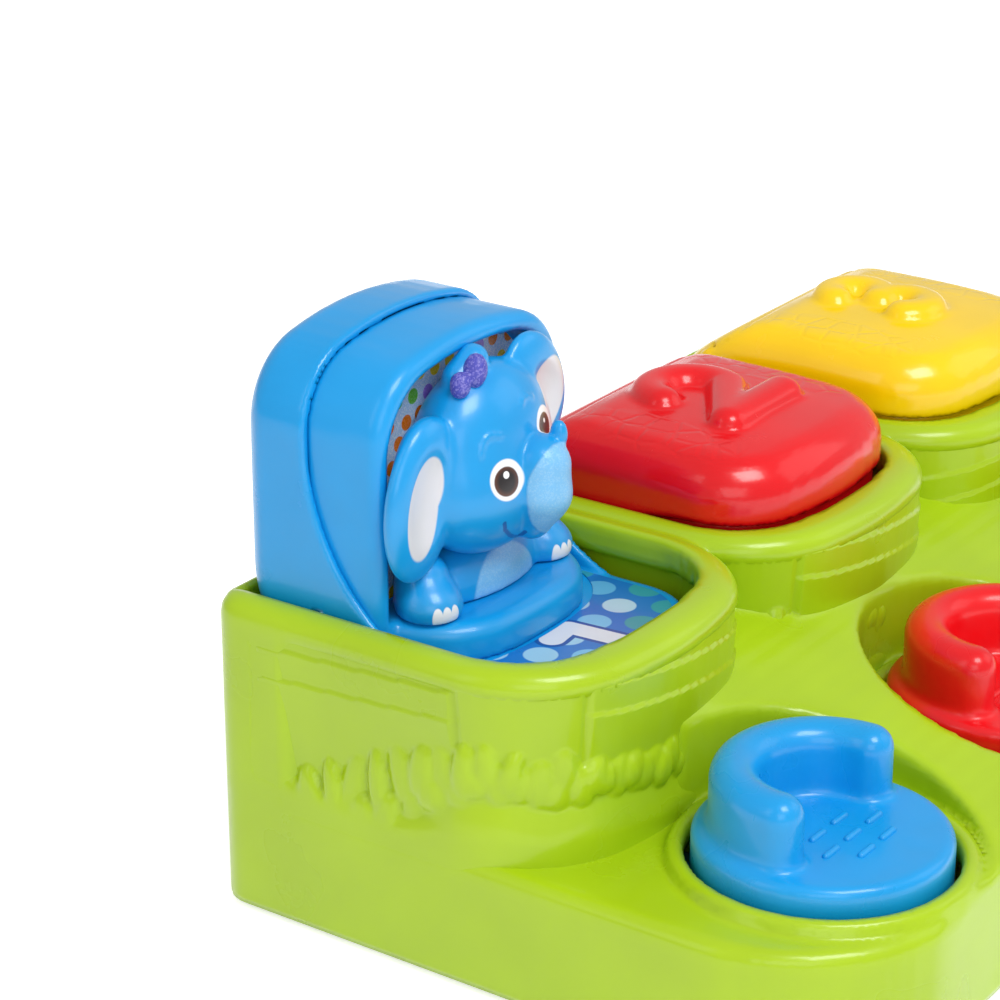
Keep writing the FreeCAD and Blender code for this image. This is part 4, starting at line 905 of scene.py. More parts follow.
# The rear of a closed lid is cut by a plane, given by its direction and its distance from the hinge.
LID = (41.0, 70.6, 110.0, 22.0)
LID_REAR = 22.75
LID_WALL = 2.2
SLANT_Y = 0.8166
SLANT_Z = -0.577
SLANT_AWAY = 16.5
NUMERAL_HALF = 6.0
NUMERAL_MIDDLE = 26.5
NUMERAL_TOP = 26.6


def numeral_line(bay, wide=20.0, tall=21.5):
    """The middle line of a numeral, across and up, read from the front when the lid is closed."""
    across = wide - NUMERAL_HALF
    up = tall - NUMERAL_HALF
    if bay == 0:
        return [(-across * 0.55, up * 0.5), (0.0, up), (0.0, -up)]
    if bay == 1:
        bend = across * 0.8
        hook = arc_points(-1.0, up - bend, bend, 165, -30, 12.0)
        return hook + [(-across, -up), (across, -up)]
    bowl = up / 2
    return arc_points(0, bowl, bowl, 150, -90, 12.0) + arc_points(0, -bowl, bowl, 90, -150, 12.0)


def lid_field(bay):
    """The outer moulding of a lid: domed cap with its numeral, drum, floor and cheeks."""
    half, reach, crown, corner = LID
    thin = LID_WALL
    outer = arch(half, reach, crown, corner, -14.0)
    inner = arch(half - thin, reach - thin, crown - thin, corner - thin, -8.0)
    plan = arch(41.0, 68.2, 110.0, 20.0, -20.5)
    line = [(x, NUMERAL_MIDDLE - up) for x, up in numeral_line(bay)]
    bulge, edge = ((0.3, 6.5), (3.0, 10.0), (3.0, 10.0))[bay]

    def field(x, y, z):
        dome = bulge * (0.8 * (x / half) ** 2 + (np.maximum(z - 22.0, 0) / 48.0) ** 2)
        slant = SLANT_Y * y + SLANT_Z * z - SLANT_AWAY
        cap = slab(outline_distance(outer, x, z), between(y + dome, -12.0, LID_REAR), edge)
        cap = meet(-melt(-cap, y - 2.75, 1.0), -z)
        round_part = np.hypot(y, np.minimum(z, 0.0)) + dome
        drum = meet(slab(round_part - LID_REAR, np.abs(x) - half, edge), -y, z - 1.0)
        figure = slab(stroke_distance(line, x, z) - NUMERAL_HALF, between(y, 12.0, NUMERAL_TOP), 5.4)
        solid = melt(carve(join(cap, drum), -slant, 5.0), figure, 1.2)
        room = slab(outline_distance(inner, x, z), between(y + dome, -12.0, LID_REAR - thin), edge - thin)
        drum_room = slab(round_part - (LID_REAR - thin), np.abs(x) - (half - thin), edge - thin)
        drum_room = meet(drum_room, thin - y, z - 1.0)
        room = meet(join(meet(room, -1.0 - z), drum_room), slant + 3.4)
        neck = meet(np.abs(x) - (half - thin), between(y, -17.0, 12.0), between(z, -8.5, 2.2))
        solid = meet(solid, -join(room, neck))
        floor = slab(outline_distance(plan, x, -y), between(z, -11.5, -8.5), 1.0)
        floor = meet(floor, slant + 1.5)
        cheek = meet(between(y, -34.5, 4.95), between(z, -11.5, 47.0), 60.0 - np.hypot(y + 57.25, z - 47.0))
        cheek = slab(cheek, np.abs(np.abs(x) - 39.9) - 1.1, 0.8)
        bore = meet(np.hypot(y, z) - 1.6, np.abs(x) - 50.0)
        return meet(join(solid, floor, cheek), -bore)

    return field


FRAME = (39.0, 68.6, 108.0, 20.0)


def frame_field(x, y, z):
    """The inner moulding of a lid: a rounded arch, its panel and the ledge under the animal."""
    outer = arch(*FRAME, -8.5)
    recess = arch(35.3, 63.8, 103.2, 20.0, 1.0)
    behind = arch(36.8, 66.4, 105.8, 17.8, -12.0)
    ledge_plan = arch(34.7, 41.0, 110.0, 24.0, -5.0)
    body = meet(slab(outline_distance(outer, x, z), between(y, -19.25, 12.0), 3.8), y - 3.6)
    ledge = slab(outline_distance(ledge_plan, x, -y), between(z, -22.0, 1.0), 4.2)
    body = melt(body, meet(ledge, -8.5 - z), 1.6)
    hole = meet(outline_distance(recess, x, z), y + 9.25)
    body = carve(body, meet(hole, -y - 30.0), 1.2)
    rear = meet(outline_distance(behind, x, z), -6.75 - y)
    notch = meet(-7.9 + meet(np.abs(y - 3.75) - 2.0, np.abs(z)), -9.0 + np.abs(z))
    return meet(body, -rear, -8.5 - z, -meet(notch, -6.0 - y))


def add_to_lids(piece, node, shade, field, low, high):
    """Mould one piece of each lid."""
    for bay in range(3):
        shell = sculpt(f"lid_{bay + 1}_{piece}", field(bay), low, high, sizes().lid_grid, lid_place(bay))
        add_piece(f"lid_{bay + 1}_{piece}", shell, shade(bay), f"lid_{bay + 1}", LID_SLOT[bay],
                  f"{node}_{bay + 1}")


class TOY_OT_lids(bpy.types.Operator):
    """Mould the three lids with their puffy numerals"""

    bl_idname = "toy.lids"
    bl_label = "Lids"

    def execute(self, context):
        def shade(bay):
            return plastic(f"lid_moulding_{bay + 1}", lid_colour(bay), 0.2, bay, wave=26.0, depth=0.4,
                           scales=True)

        add_to_lids("cap", "lid_shell", shade, lid_field, (-42.3, -69.7, -24.0), (42.3, 27.4, 72.0))
        return {"FINISHED"}


class TOY_OT_frames(bpy.types.Operator):
    """Mould the arch frames and their ledges"""

    bl_idname = "toy.frames"
    bl_label = "Frames"

    def execute(self, context):
        def shade(bay):
            return plastic(f"frame_moulding_{bay + 1}", lid_colour(bay), 0.3, bay, wave=20.0, depth=0.3)

        add_to_lids("arch", "lid_frame", shade, lambda bay: frame_field, (-40.5, -42.5, -10.5),
                    (40.5, 4.5, 70.5))
        return {"FINISHED"}


# ---------------------------------------------------------------- animals

FLOOR_TOP = 1.08


def seated(field, y):
    """Keep a figure in front of the printed backdrop."""
    return meet(field, y + 9.65)


ELEPHANT_BROWS = [[(-15.0, -32.0, 42.0), (-14.3, -31.7, 44.3), (-13.1, -31.9, 45.8), (-11.5, -32.3, 46.4),
                   (-8.9, -33.4, 45.9)],
                  [(0.9, -32.8, 50.8), (1.9, -32.3, 51.9), (4.0, -32.0, 52.0), (6.6, -32.0, 51.1)]]


def elephant_head_field(x, y, z):
    head = ellipsoid(x, y, z, (0.0, -21.25, 37.0), (23.4, 14.5, 23.2), -27)
    cheeks = ellipsoid(x, y, z, (-4.0, -23.5, 27.4), (19.8, 14.0, 15.0))
    head = melt(head, cheeks, 6.0)
    trunk = ellipsoid(x, y, z, (3.4, -35.0, 35.4), (7.0, 9.4, 7.2), 0)
    trunk = melt(trunk, limb(x, y, z, (3.0, -37.0, 35.0), (2.5, -37.2, 28.0), 7.4, 7.6), 2.0)
    trunk = melt(trunk, limb(x, y, z, (2.5, -37.2, 28.0), (2.5, -34.5, 21.4), 7.6, 6.2), 3.0)
    head = melt(head, trunk, 1.2)
    for line in ELEPHANT_BROWS:
        for start, end in zip(line, line[1:]):
            head = melt(head, limb(x, y, z, start, end, 0.55, 0.55), 0.7)
    bridge = ellipsoid(x, y, z, (7.4, -39.6, 42.4), (1.9, 2.4, 3.8))
    head = melt(head, bridge, 0.8)
    left = ellipsoid(x, y, z, (-27.9, -22.8, 32.0), (13.2, 4.6, 20.4), 12)
    left = melt(left, ellipsoid(x, y, z, (-24.0, -22.0, 42.5), (9.5, 4.6, 9.5)), 3.0)
    left_room = ellipsoid(x, y, z, (-30.0, -27.4, 32.5), (7.4, 2.2, 14.4), 10)
    left = meet(carve(left, left_room, 1.2), y + 19.45)
    right = ellipsoid(x, y, z, (19.5, -23.2, 47.0), (12.6, 4.4, 17.0), -24)
    right_room = ellipsoid(x, y, z, (22.0, -27.6, 45.5), (7.0, 2.2, 10.6), -24)
    right = meet(carve(right, right_room, 1.2), y + 19.45)
    head = melt(melt(head, left, 1.5), right, 1.5)
    bump = limb(x, y, z, (-9.0, -20.5, 58.0), (-3.4, -21.2, 61.4), 4.0, 4.0)
    return seated(melt(head, bump, 2.0), y)


def elephant_body_field(x, y, z):
    torso = ellipsoid(x, y, z, (1.0, -17.0, 3.0), (24.0, 12.5, 13.0))
    for side in (-1, 1):
        leg = limb(x, y, z, (side * 22.5, -19.0, 9.0), (side * 23.6, -20.5, 5.0), 7.0, 7.6)
        foot = ellipsoid(x, y, z, (side * 24.3, -23.2, 3.6), (8.2, 8.0, 6.2))
        torso = melt(torso, melt(leg, foot, 2.5), 2.0)
    return seated(meet(torso, FLOOR_TOP - z, z - 14.8), y)


def hair_field(x, y, z):
    one = ellipsoid(x, y, z, (-12.9, -24.2, 58.0), (2.4, 2.8, 3.4), 14)
    two = ellipsoid(x, y, z, (-8.0, -25.2, 60.6), (2.8, 3.2, 4.4), 14)
    return melt(one, two, 0.8)


def bear_head_field(x, y, z):
    head = ellipsoid(x, y, z, (0.0, -21.0, 36.0), (23.0, 16.0, 21.0))
    for side in (-1, 1):
        ear = ellipsoid(x, y, z, (side * 17.5, -17.5, 52.0), (8.0, 5.0, 8.0))
        ear = carve(ear, ellipsoid(x, y, z, (side * 17.5, -23.5, 51.5), (4.8, 3.0, 4.8)), 1.0)
        head = melt(head, ear, 2.0)
    muzzle = ellipsoid(x, y, z, (0.0, -35.0, 29.5), (10.5, 7.0, 8.5))
    nose = ellipsoid(x, y, z, (0.0, -42.0, 33.5), (4.2, 2.6, 3.0))
    return seated(melt(melt(head, muzzle, 3.0), nose, 0.8), y)


LION_MIDDLE = 37.0
LION_PETALS = 12


def lion_head_field(x, y, z):
    angle = np.arctan2(z - LION_MIDDLE, x)
    away = np.hypot(x, z - LION_MIDDLE)
    petals = 22.6 + 1.6 * np.cos(angle * LION_PETALS)
    mane = slab(away - petals, np.abs(y + 14.5) - 4.8, 3.0)
    head = ellipsoid(x, y, z, (0.0, -22.5, LION_MIDDLE), (18.5, 14.5, 18.0))
    for side in (-1, 1):
        head = melt(head, ellipsoid(x, y, z, (side * 13.5, -21.5, 50.5), (5.0, 4.0, 5.0)), 1.5)
    muzzle = ellipsoid(x, y, z, (0.0, -35.0, 31.0), (9.5, 6.5, 7.5))
    nose = ellipsoid(x, y, z, (0.0, -41.4, 34.5), (3.6, 2.4, 2.6))
    return seated(melt(join(mane, head), melt(muzzle, nose, 0.8), 2.5), y)


def paws_body_field(x, y, z):
    torso = ellipsoid(x, y, z, (0.0, -16.5, 2.0), (23.0, 11.5, 11.5))
    for side in (-1, 1):
        leg = limb(x, y, z, (side * 21.5, -19.5, 6.0), (side * 23.5, -24.0, 4.5), 6.6, 7.2)
        torso = melt(torso, leg, 2.0)
    return seated(meet(torso, FLOOR_TOP - z, z - 11.0), y)


def paint_eyes(finish, colour, places, scale=1.0):
    """Painted eyes on the surface round each place: white, a dark brown iris and a highlight."""
    for across, depth, up in places:
        white = finish.ball((across, depth, up), (5.2 * scale, 5.2 * scale, 5.2 * scale))
        iris = finish.ball((across - 0.3, depth, up - 0.3), (3.8 * scale, 3.8 * scale, 3.7 * scale))
        core = finish.ball((across - 0.3, depth, up - 0.3), (3.0 * scale, 3.0 * scale, 3.0 * scale), 0.3)
        light = finish.ball((across - 0.2, depth, up + 1.4 * scale), 0.95 * scale, 0.1)
        colour = finish.mix(white, colour, linear(246, 246, 250))
        colour = finish.mix(iris, colour, linear(92, 52, 36))
        colour = finish.mix(core, colour, linear(26, 18, 20))
        colour = finish.mix(light, colour, linear(252, 252, 252))
    return colour


def paint_smile(finish, colour, points, shade, thick=0.62):
    """A thin painted mouth line through some places on the surface."""
    dots = []
    for one, two in zip(points, points[1:]):
        for share in (0.0, 0.25, 0.5, 0.75):
            spot = tuple(a + (b - a) * share for a, b in zip(one, two))
            dots.append(finish.ball(spot, thick, 0.25))
    return finish.mix(finish.either(*dots), colour, shade)


ELEPHANT_EYES = [(-9.8, -36.0, 34.9), (10.0, -34.4, 42.9)]
ELEPHANT_SMILE = [(-11.2, -36.2, 23.9), (-10.4, -35.9, 21.8), (-7.4, -35.1, 19.3), (-5.2, -34.6, 18.0),
                  (-3.0, -34.1, 17.3), (-2.6, -35.2, 17.8), (-2.8, -36.9, 19.3)]


PAINT = {"IOR": 1.5, "Coat_Weight": 0.25, "Coat_Roughness": 0.12}


def flaked(finish, glitter, share, base, bright):
    """A colour with brighter flakes in it: real glitter flakes, with their sparkle painted in as glints of
    lighter colour.
    """
    return finish.mix(finish.times(glitter["Sparkle"], share), tuple(base), linear(*bright))


def elephant_finish():
    finish = Finish("elephant_paint", 0)
    skin_of = finish.group("moulded_skin", Wave=18.0, Skin=1.1)
    glitter = finish.group("glitter_flakes", Flake=0.32)
    colour = finish.tone(tuple(colours().blue), skin_of["Tone"])
    ears = finish.either(finish.oval(-30.9, 30.6, 6.0, 12.0, -9), finish.oval(-29.6, 34.6, 5.9, 10.0, -18),
                         finish.oval(21.6, 45.6, 8.0, 10.4, -24))
    ears = finish.both(ears, finish.ahead_of(-22.0))
    colour = finish.mix(ears, colour, tuple(colours().ear_inside))
    trunk = finish.ball((3.4, -44.0, 29.2), (10.4, 9.8, 12.8), 0.03)
    colour = finish.mix(trunk, colour, flaked(finish, glitter, 0.35, colours().pale, (176, 218, 250)))
    colour = paint_eyes(finish, colour, ELEPHANT_EYES)
    colour = paint_smile(finish, colour, ELEPHANT_SMILE, linear(22, 92, 168))
    height = finish.plus(skin_of["Height"], finish.both(trunk, glitter["Height"]))
    rough = finish.plus(0.3, finish.times(trunk, 0.15))
    return finish.close(colour, rough, height, 0.25, **PAINT)


def elephant_body_finish():
    finish = Finish("elephant_body_paint", 0)
    skin_of = finish.group("moulded_skin", Wave=16.0, Skin=1.1)
    glitter = finish.group("glitter_flakes", Flake=0.32)
    colour = finish.tone(tuple(colours().blue), skin_of["Tone"])
    belly = finish.oval(0.8, 1.0, 12.6, 11.0, 0, 0.04)
    colour = finish.mix(belly, colour, flaked(finish, glitter, 0.35, colours().pale, (176, 218, 250)))
    for middle, turns in (((-24.3, -23.2, 2.8), (-131, -113, -95)), ((24.3, -23.2, 2.8), (-116, -98, -80))):
        nails = []
        for turn in turns:
            side = math.radians(turn)
            spot = (middle[0] + 7.9 * math.cos(side), middle[1] + 7.8 * math.sin(side), middle[2])
            nails.append(finish.ball(spot, (1.4, 1.4, 2.9), 0.08))
        colour = finish.mix(finish.either(*nails), colour, linear(240, 240, 244))
    height = finish.plus(skin_of["Height"], finish.both(belly, glitter["Height"]))
    return finish.close(colour, finish.plus(0.3, skin_of["Roughness"]), height, 0.25, **PAINT)


def hair_finish():
    finish = Finish("hair_glitter", 0)
    glitter = finish.group("glitter_flakes", Flake=0.4)
    colour = flaked(finish, glitter, 0.6, colours().hair, (158, 150, 226))
    return finish.close(colour, 0.4, glitter["Height"], 0.3, IOR=1.5)


def figure_finish(bay, base, muzzle, shade):
    """Painted plastic for the bear and the lion."""
    finish = Finish(f"{KINDS[bay]}_paint", bay)
    skin_of = finish.group("moulded_skin", Wave=18.0, Skin=1.1)
    colour = finish.tone(tuple(base), skin_of["Tone"])
    patch = finish.both(finish.oval(0.0, 30.0, 9.6, 8.0), finish.ahead_of(-33.0))
    colour = finish.mix(patch, colour, muzzle)
    nose = finish.both(finish.oval(0.0, 34.0, 3.9, 2.7), finish.ahead_of(-39.5, 0.4))
    colour = finish.mix(nose, colour, linear(52, 34, 30))
    if bay == 1:
        ears = finish.either(finish.oval(-17.5, 51.5, 4.6, 4.6), finish.oval(17.5, 51.5, 4.6, 4.6))
        colour = finish.mix(ears, colour, muzzle)
        colour = paint_eyes(finish, colour, [(-8.6, -36.0, 40.0), (8.6, -36.0, 40.0)], 0.85)
    else:
        parts = finish.parts(finish.place)
        away = finish.hypot(parts["X"], finish.minus(parts["Z"], LION_MIDDLE))
        mane = finish.both(finish.ramp(away, 18.0, 18.8), finish.ramp(parts["Y"], -20.5, -19.5))
        colour = finish.mix(mane, colour, shade)
        colour = paint_eyes(finish, colour, [(-7.4, -36.0, 41.0), (7.4, -36.0, 41.0)], 0.8)
    mouth = [(across, -41.5, up) for across, up in arc_points(0.0, 28.4, 3.6, 200, 340, 28.0)]
    colour = paint_smile(finish, colour, mouth, linear(70, 40, 30))
    return finish.close(colour, finish.plus(0.3, skin_of["Roughness"]), skin_of["Height"], 0.25, **PAINT)


FIGURE_BOX = ((-42.0, -50.0, 0.0), (42.0, -8.4, 66.0))
BODY_BOX = ((-36.5, -40.5, 0.2), (36.5, -8.4, 15.6))


def add_figure(bay, slot, head_field, body_field, head_paint, body_paint):
    """Sculpt an animal's head and body on its lid."""
    for part, field, box, paint in (("head", head_field, FIGURE_BOX, head_paint),
                                    ("body", body_field, BODY_BOX, body_paint)):
        name = f"{KINDS[bay]}_{part}"
        mesh = sculpt(name, field, *box, sizes().figure_grid, lid_place(bay))
        add_piece(name, mesh, paint, f"lid_{bay + 1}", slot, f"{name}_{bay + 1}")


class TOY_OT_elephant(bpy.types.Operator):
    """Sculpt the elephant of the first bay, with its painted and glittery places"""

    bl_idname = "toy.elephant"
    bl_label = "Elephant"

    def execute(self, context):
        add_figure(0, "elephant_blue", elephant_head_field, elephant_body_field, elephant_finish(),
                   elephant_body_finish())
        hair = sculpt("elephant_hair", hair_field, (-21.0, -34.0, 50.0), (-2.0, -22.0, 65.0),
                      sizes().figure_grid, lid_place(0))
        add_piece("elephant_hair", hair, hair_finish(), "lid_1", "elephant_blue")
        return {"FINISHED"}


class TOY_OT_bear(bpy.types.Operator):
    """Sculpt the bear of the second bay"""

    bl_idname = "toy.bear"
    bl_label = "Bear"

    def execute(self, context):
        paint = figure_finish(1, colours().brown, linear(226, 186, 140), linear(110, 64, 34))
        plain = plastic("bear_plain", colours().brown, 0.3, 1, wave=16.0, depth=0.25)
        add_figure(1, "bear_brown", bear_head_field, paws_body_field, paint, plain)
        return {"FINISHED"}


class TOY_OT_lion(bpy.types.Operator):
    """Sculpt the lion of the third bay"""

    bl_idname = "toy.lion"
    bl_label = "Lion"

    def execute(self, context):
        paint = figure_finish(2, colours().gold, linear(250, 226, 170), linear(196, 92, 28))
        plain = plastic("lion_plain", colours().gold, 0.3, 2, wave=16.0, depth=0.25)
        add_figure(2, "lion_gold", lion_head_field, paws_body_field, paint, plain)
        return {"FINISHED"}


# ---------------------------------------------------------------- printed sheets

def choose(finish, pick, shades):
    """A colour picked from a list by a number from 0 to 1."""
    colour = shades[0] + (1.0,)
    for number, shade in enumerate(shades[1:], start=1):
        over = finish.math("GREATER_THAN", pick, number / len(shades))
        colour = finish.mix(over, colour, shade)
    return colour


def backdrop_finish(bay):
    """Pale glittery sheet with small bright dots."""
    finish = Finish(f"backdrop_print_{bay + 1}", bay)
    glitter = finish.group("glitter_flakes", Flake=0.3)
    # painted glints: the glitter flakes' sparkle lightens the sheet's colour
    sheet = finish.mix(glitter["Sparkle"], linear(204, 232, 255), linear(240, 248, 255))
    dots = finish.group("printed_dots", Pitch=6.3, Radius=0.32, Scatter=0.14)
    shades = [linear(255, 132, 24), linear(255, 218, 32), linear(120, 204, 66), linear(176, 138, 232),
              linear(255, 218, 32), linear(255, 132, 24)]
    colour = finish.mix(dots["Mask"], sheet, choose(finish, dots["Pick"], shades))
    rough = finish.plus(0.22, finish.times(glitter["Sparkle"], 0.12))
    return finish.close(colour, rough, glitter["Height"], 0.05, IOR=1.5)


PRINTED_NUMERALS = (
    ((-3.0, -45.0), (5.5, -44.0), (6.9, -63.0)),
    ((-6.0, -46.0), (6.0, -46.0), (-6.0, -62.0), (7.0, -62.0)),
    ((-5.0, -45.0), (6.0, -47.0), (0.0, -53.0), (6.0, -60.0), (-6.0, -62.0)),
)


def floor_finish(bay):
    """Blue sheet with large soft dots and an outlined numeral."""
    finish = Finish(f"floor_print_{bay + 1}", bay)
    parts = finish.parts(finish.place)
    plan = finish.add("ShaderNodeCombineXYZ", {"X": parts["X"], "Z": parts["Y"]}).outputs[0]
    dots = finish.add("ShaderNodeGroup", {"Place": plan, "Pitch": 12.2, "Radius": 0.36, "Scatter": 0.04},
                      node_tree=group_named("printed_dots"))
    shades = [linear(96, 178, 226), linear(160, 206, 230), linear(52, 158, 170), linear(122, 192, 230),
              linear(186, 214, 232)]
    colour = finish.mix(dots.outputs["Mask"], linear(24, 116, 198),
                        choose(finish, dots.outputs["Pick"], shades))
    line = PRINTED_NUMERALS[bay]
    for half, shade in ((4.6, linear(16, 74, 156)), (3.3, linear(226, 226, 232))):
        bars = [finish.bar(*run, half, 0.12, plan) for run in zip(line, line[1:])]
        colour = finish.mix(finish.either(*bars), colour, shade)
    skin_of = finish.group("moulded_skin", Wave=14.0, Skin=0.8)
    return finish.close(colour, finish.plus(0.2, skin_of["Roughness"]), skin_of["Height"], 0.08,
                        IOR=1.5, Coat_Weight=0.3, Coat_Roughness=0.1)


class TOY_OT_prints(bpy.types.Operator):
    """Print the dotted sheets behind the animals and on the lids' floors"""

    bl_idname = "toy.prints"
    bl_label = "Printed sheets"

    def execute(self, context):
        for bay in range(3):
            dress(f"backdrop_sticker_{bay + 1}", backdrop_finish(bay))
            dress(f"floor_sticker_{bay + 1}", floor_finish(bay))
        return {"FINISHED"}


def dress(node, material):
    """Give a CAD node its material."""
    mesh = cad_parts[node].data
    mesh.materials.clear()
    mesh.materials.append(material)


# ---------------------------------------------------------------- pads

GRIP = 22.0
RIB_SPACING = 10.6
ROW_STEP = 6.6
RIB_RISE = 1.05


def pad_field(x, y, z):
    """A round press pad with its horseshoe grip, seen from its middle: cup, grip, lugs and arm."""
    away = np.hypot(x, y)
    disc = meet(slab(away - 32.0, between(z, -24.0, 0.0), 2.6), -13.0 - z)
    inside = meet(away - 29.6, z + 2.4)
    ring = np.where(y > 0, np.abs(away - GRIP), np.hypot(np.abs(x) - GRIP, y)) - 6.0
    grip = slab(ring, between(z, -4.0, 18.0), 5.6)
    body = melt(meet(disc, -inside), meet(grip, -2.0 - z), 3.0)
    stem = between(y, 17.0, 25.0)
    lugs = slab(meet(stem, between(z, -11.8, -1.0)), between(np.abs(x), 7.0, 10.0), 0.4)
    arm = meet(stem, between(z, -25.5, -1.0))
    arm = join(arm, meet(between(y, 17.0, 69.0), between(z, -25.5, -21.0)))
    arm = slab(arm, np.abs(x) - 4.0, 0.5)
    peg = meet(np.hypot(x, y + 12.0) - 4.8, between(z, -4.8, -1.0))
    bore = meet(np.hypot(y - 21.0, z + 7.8) - 2.1, np.abs(x) - 12.0)
    return meet(join(body, lugs, arm, peg), -bore)


def rib_rows(bay):
    """Where the grip ribs of a pad stand, from its middle."""
    rows = ((2, 3, 2), (3, 2, 3), (1, 2, 3))[bay]
    return [(RIB_SPACING * (number - (count - 1) / 2), -1.4 - row * ROW_STEP)
            for row, count in enumerate(rows) for number in range(count)]


def rib_tree():
    """A Geometry Nodes tree that puts a pill-shaped rib on each point."""
    tree = bpy.data.node_groups.new("grip_ribs", "GeometryNodeTree")
    tree.interface.new_socket("Geometry", in_out="INPUT", socket_type="NodeSocketGeometry")
    for label, value in (("Length", 0.007), ("Width", 0.002), ("Rise", 0.001)):
        socket = tree.interface.new_socket(label, in_out="INPUT", socket_type=NUMBER)
        socket.default_value = value
    tree.interface.new_socket("Material", in_out="INPUT", socket_type="NodeSocketMaterial")
    tree.interface.new_socket("Geometry", in_out="OUTPUT", socket_type="NodeSocketGeometry")
    graph = Graph(tree)
    takes = graph.add("NodeGroupInput").outputs
    gives = graph.add("NodeGroupOutput").inputs
    ball = graph.add("GeometryNodeMeshUVSphere", {"Segments": 20, "Rings": 12, "Radius": 1.0})
    part = graph.parts(graph.add("GeometryNodeInputPosition").outputs[0])
    half = graph.times(takes["Width"], 0.5)
    run = graph.minus(graph.times(takes["Length"], 0.5), half)
    side = graph.math("SIGN", graph.plus(part["X"], 1e-5))
    spot = graph.add("ShaderNodeCombineXYZ", {
        "X": graph.plus(graph.times(part["X"], half), graph.times(side, run)),
        "Y": graph.times(part["Y"], half), "Z": graph.times(part["Z"], takes["Rise"])})
    pill = graph.add("GeometryNodeSetPosition", {"Geometry": ball.outputs["Mesh"],
                                                 "Position": spot.outputs[0]})
    smooth = graph.add("GeometryNodeSetShadeSmooth", {"Geometry": pill.outputs[0]})
    spread = graph.add("GeometryNodeInstanceOnPoints", {"Points": takes["Geometry"],
                                                        "Instance": smooth.outputs[0]})
    real = graph.add("GeometryNodeRealizeInstances", {"Geometry": spread.outputs[0]})
    shade = graph.add("GeometryNodeSetMaterial", {"Geometry": real.outputs[0],
                                                  "Material": takes["Material"]})
    graph.wire(gives["Geometry"], shade.outputs[0])
    return tree


def grown(name, points, tree, values):
    """The plain mesh that a Geometry Nodes tree makes on some points."""
    mesh = bpy.data.meshes.new(name + "_points")
    mesh.from_pydata(points, [], [])
    holder = bpy.data.objects.new(name + "_points", mesh)
    bpy.context.scene.collection.objects.link(holder)
    modifier = holder.modifiers.new("grow", "NODES")
    modifier.node_group = tree
    for item in tree.interface.items_tree:
        if item.item_type == "SOCKET" and item.in_out == "INPUT" and item.name in values:
            modifier[item.identifier] = values[item.name]
    ready = holder.evaluated_get(bpy.context.evaluated_depsgraph_get())
    made = bpy.data.meshes.new_from_object(ready)
    made.name = name
    holder.modifiers.clear()
    bpy.data.objects.remove(holder)
    return made


class TOY_OT_pads(bpy.types.Operator):
    """Mould the three press pads and their grip ribs"""

    bl_idname = "toy.pads"
    bl_label = "Press pads"

    def execute(self, context):
        tree = rib_tree()
        for bay in range(3):
            shade = plastic(f"pad_moulding_{bay + 1}", lid_colour(bay), 0.26, wave=16.0, depth=0.3)
            place = Matrix.Translation(Vector((BAY_X[bay], PAD_Y, PAD_Z)) * MM)
            pad = sculpt(f"pad_{bay + 1}", pad_field, (-33.5, -33.5, -27.0), (33.5, 70.5, 19.5), 1.0 * MM,
                         place)
            add_piece(f"pad_{bay + 1}", pad, shade, f"activator_{bay + 1}", LID_SLOT[bay],
                      f"activator_{bay + 1}")
            points = [((BAY_X[bay] + x) * MM, (PAD_Y + y) * MM, (PAD_Z - 0.05) * MM)
                      for x, y in rib_rows(bay)]
            ribs = grown(f"pad_{bay + 1}_ribs", points, tree,
                         {"Length": sizes().rib_length, "Width": sizes().rib_width,
                          "Rise": RIB_RISE * MM, "Material": shade})
            add_piece(f"pad_{bay + 1}_ribs", ribs, shade, f"activator_{bay + 1}", LID_SLOT[bay])
        return {"FINISHED"}


# ---------------------------------------------------------------- hardware

def steel(name, tint, roughness):
    """Drawn or plated steel with fine lines."""
    finish = Finish(name)
    stretched = finish.add("ShaderNodeMapping", {"Vector": finish.place, "Scale": (0.3, 3.0, 3.0)})
    lines = finish.add("ShaderNodeTexNoise", {"Vector": stretched.outputs[0], "Scale": 2.2, "Detail": 5.0})
    tone = finish.ramp(lines.outputs["Fac"], 0.2, 0.8, 0.86, 1.08)
    rough = finish.ramp(lines.outputs["Fac"], 0.2, 0.8, roughness - 0.06, roughness + 0.1)
    return finish.close(finish.tone(tint, tone), rough, lines.outputs["Fac"], 0.02, metallic=1.0)


def rubber(name):
    finish = Finish(name)
    grain = finish.add("ShaderNodeTexNoise", {"Vector": finish.place, "Scale": 2.5, "Detail": 6.0})
    tone = finish.ramp(grain.outputs["Fac"], 0.2, 0.8, 0.8, 1.2)
    return finish.close(finish.tone(linear(40, 40, 42), tone), 0.75, grain.outputs["Fac"], 0.08)


class TOY_OT_hardware(bpy.types.Operator):
    """Finish the pins, springs, screws, feet, cover and levers"""

    bl_idname = "toy.hardware"
    bl_label = "Hardware"

    def execute(self, context):
        plated = steel("plated_steel", linear(196, 196, 192), 0.3)
        wire = steel("spring_wire", linear(176, 176, 178), 0.24)
        inner = plastic("inner_moulding", linear(236, 236, 230), 0.42, wave=12.0, depth=0.2)
        cover = plastic("cover_moulding", colours().housing, 0.45, wave=30.0, depth=0.3)
        dress("bottom_cover", cover)
        dress("case_screws", plated)
        dress("rubber_feet", rubber("foot_rubber"))
        for number in (1, 2, 3):
            for node in ("hinge_pin", "activator_pin", "latch_pin", "lid_screws"):
                dress(f"{node}_{number}", plated)
            for node in ("hinge_spring", "activator_spring", "latch_spring"):
                dress(f"{node}_{number}", wire)
            dress(f"latch_{number}", inner)
        return {"FINISHED"}


# ---------------------------------------------------------------- stage

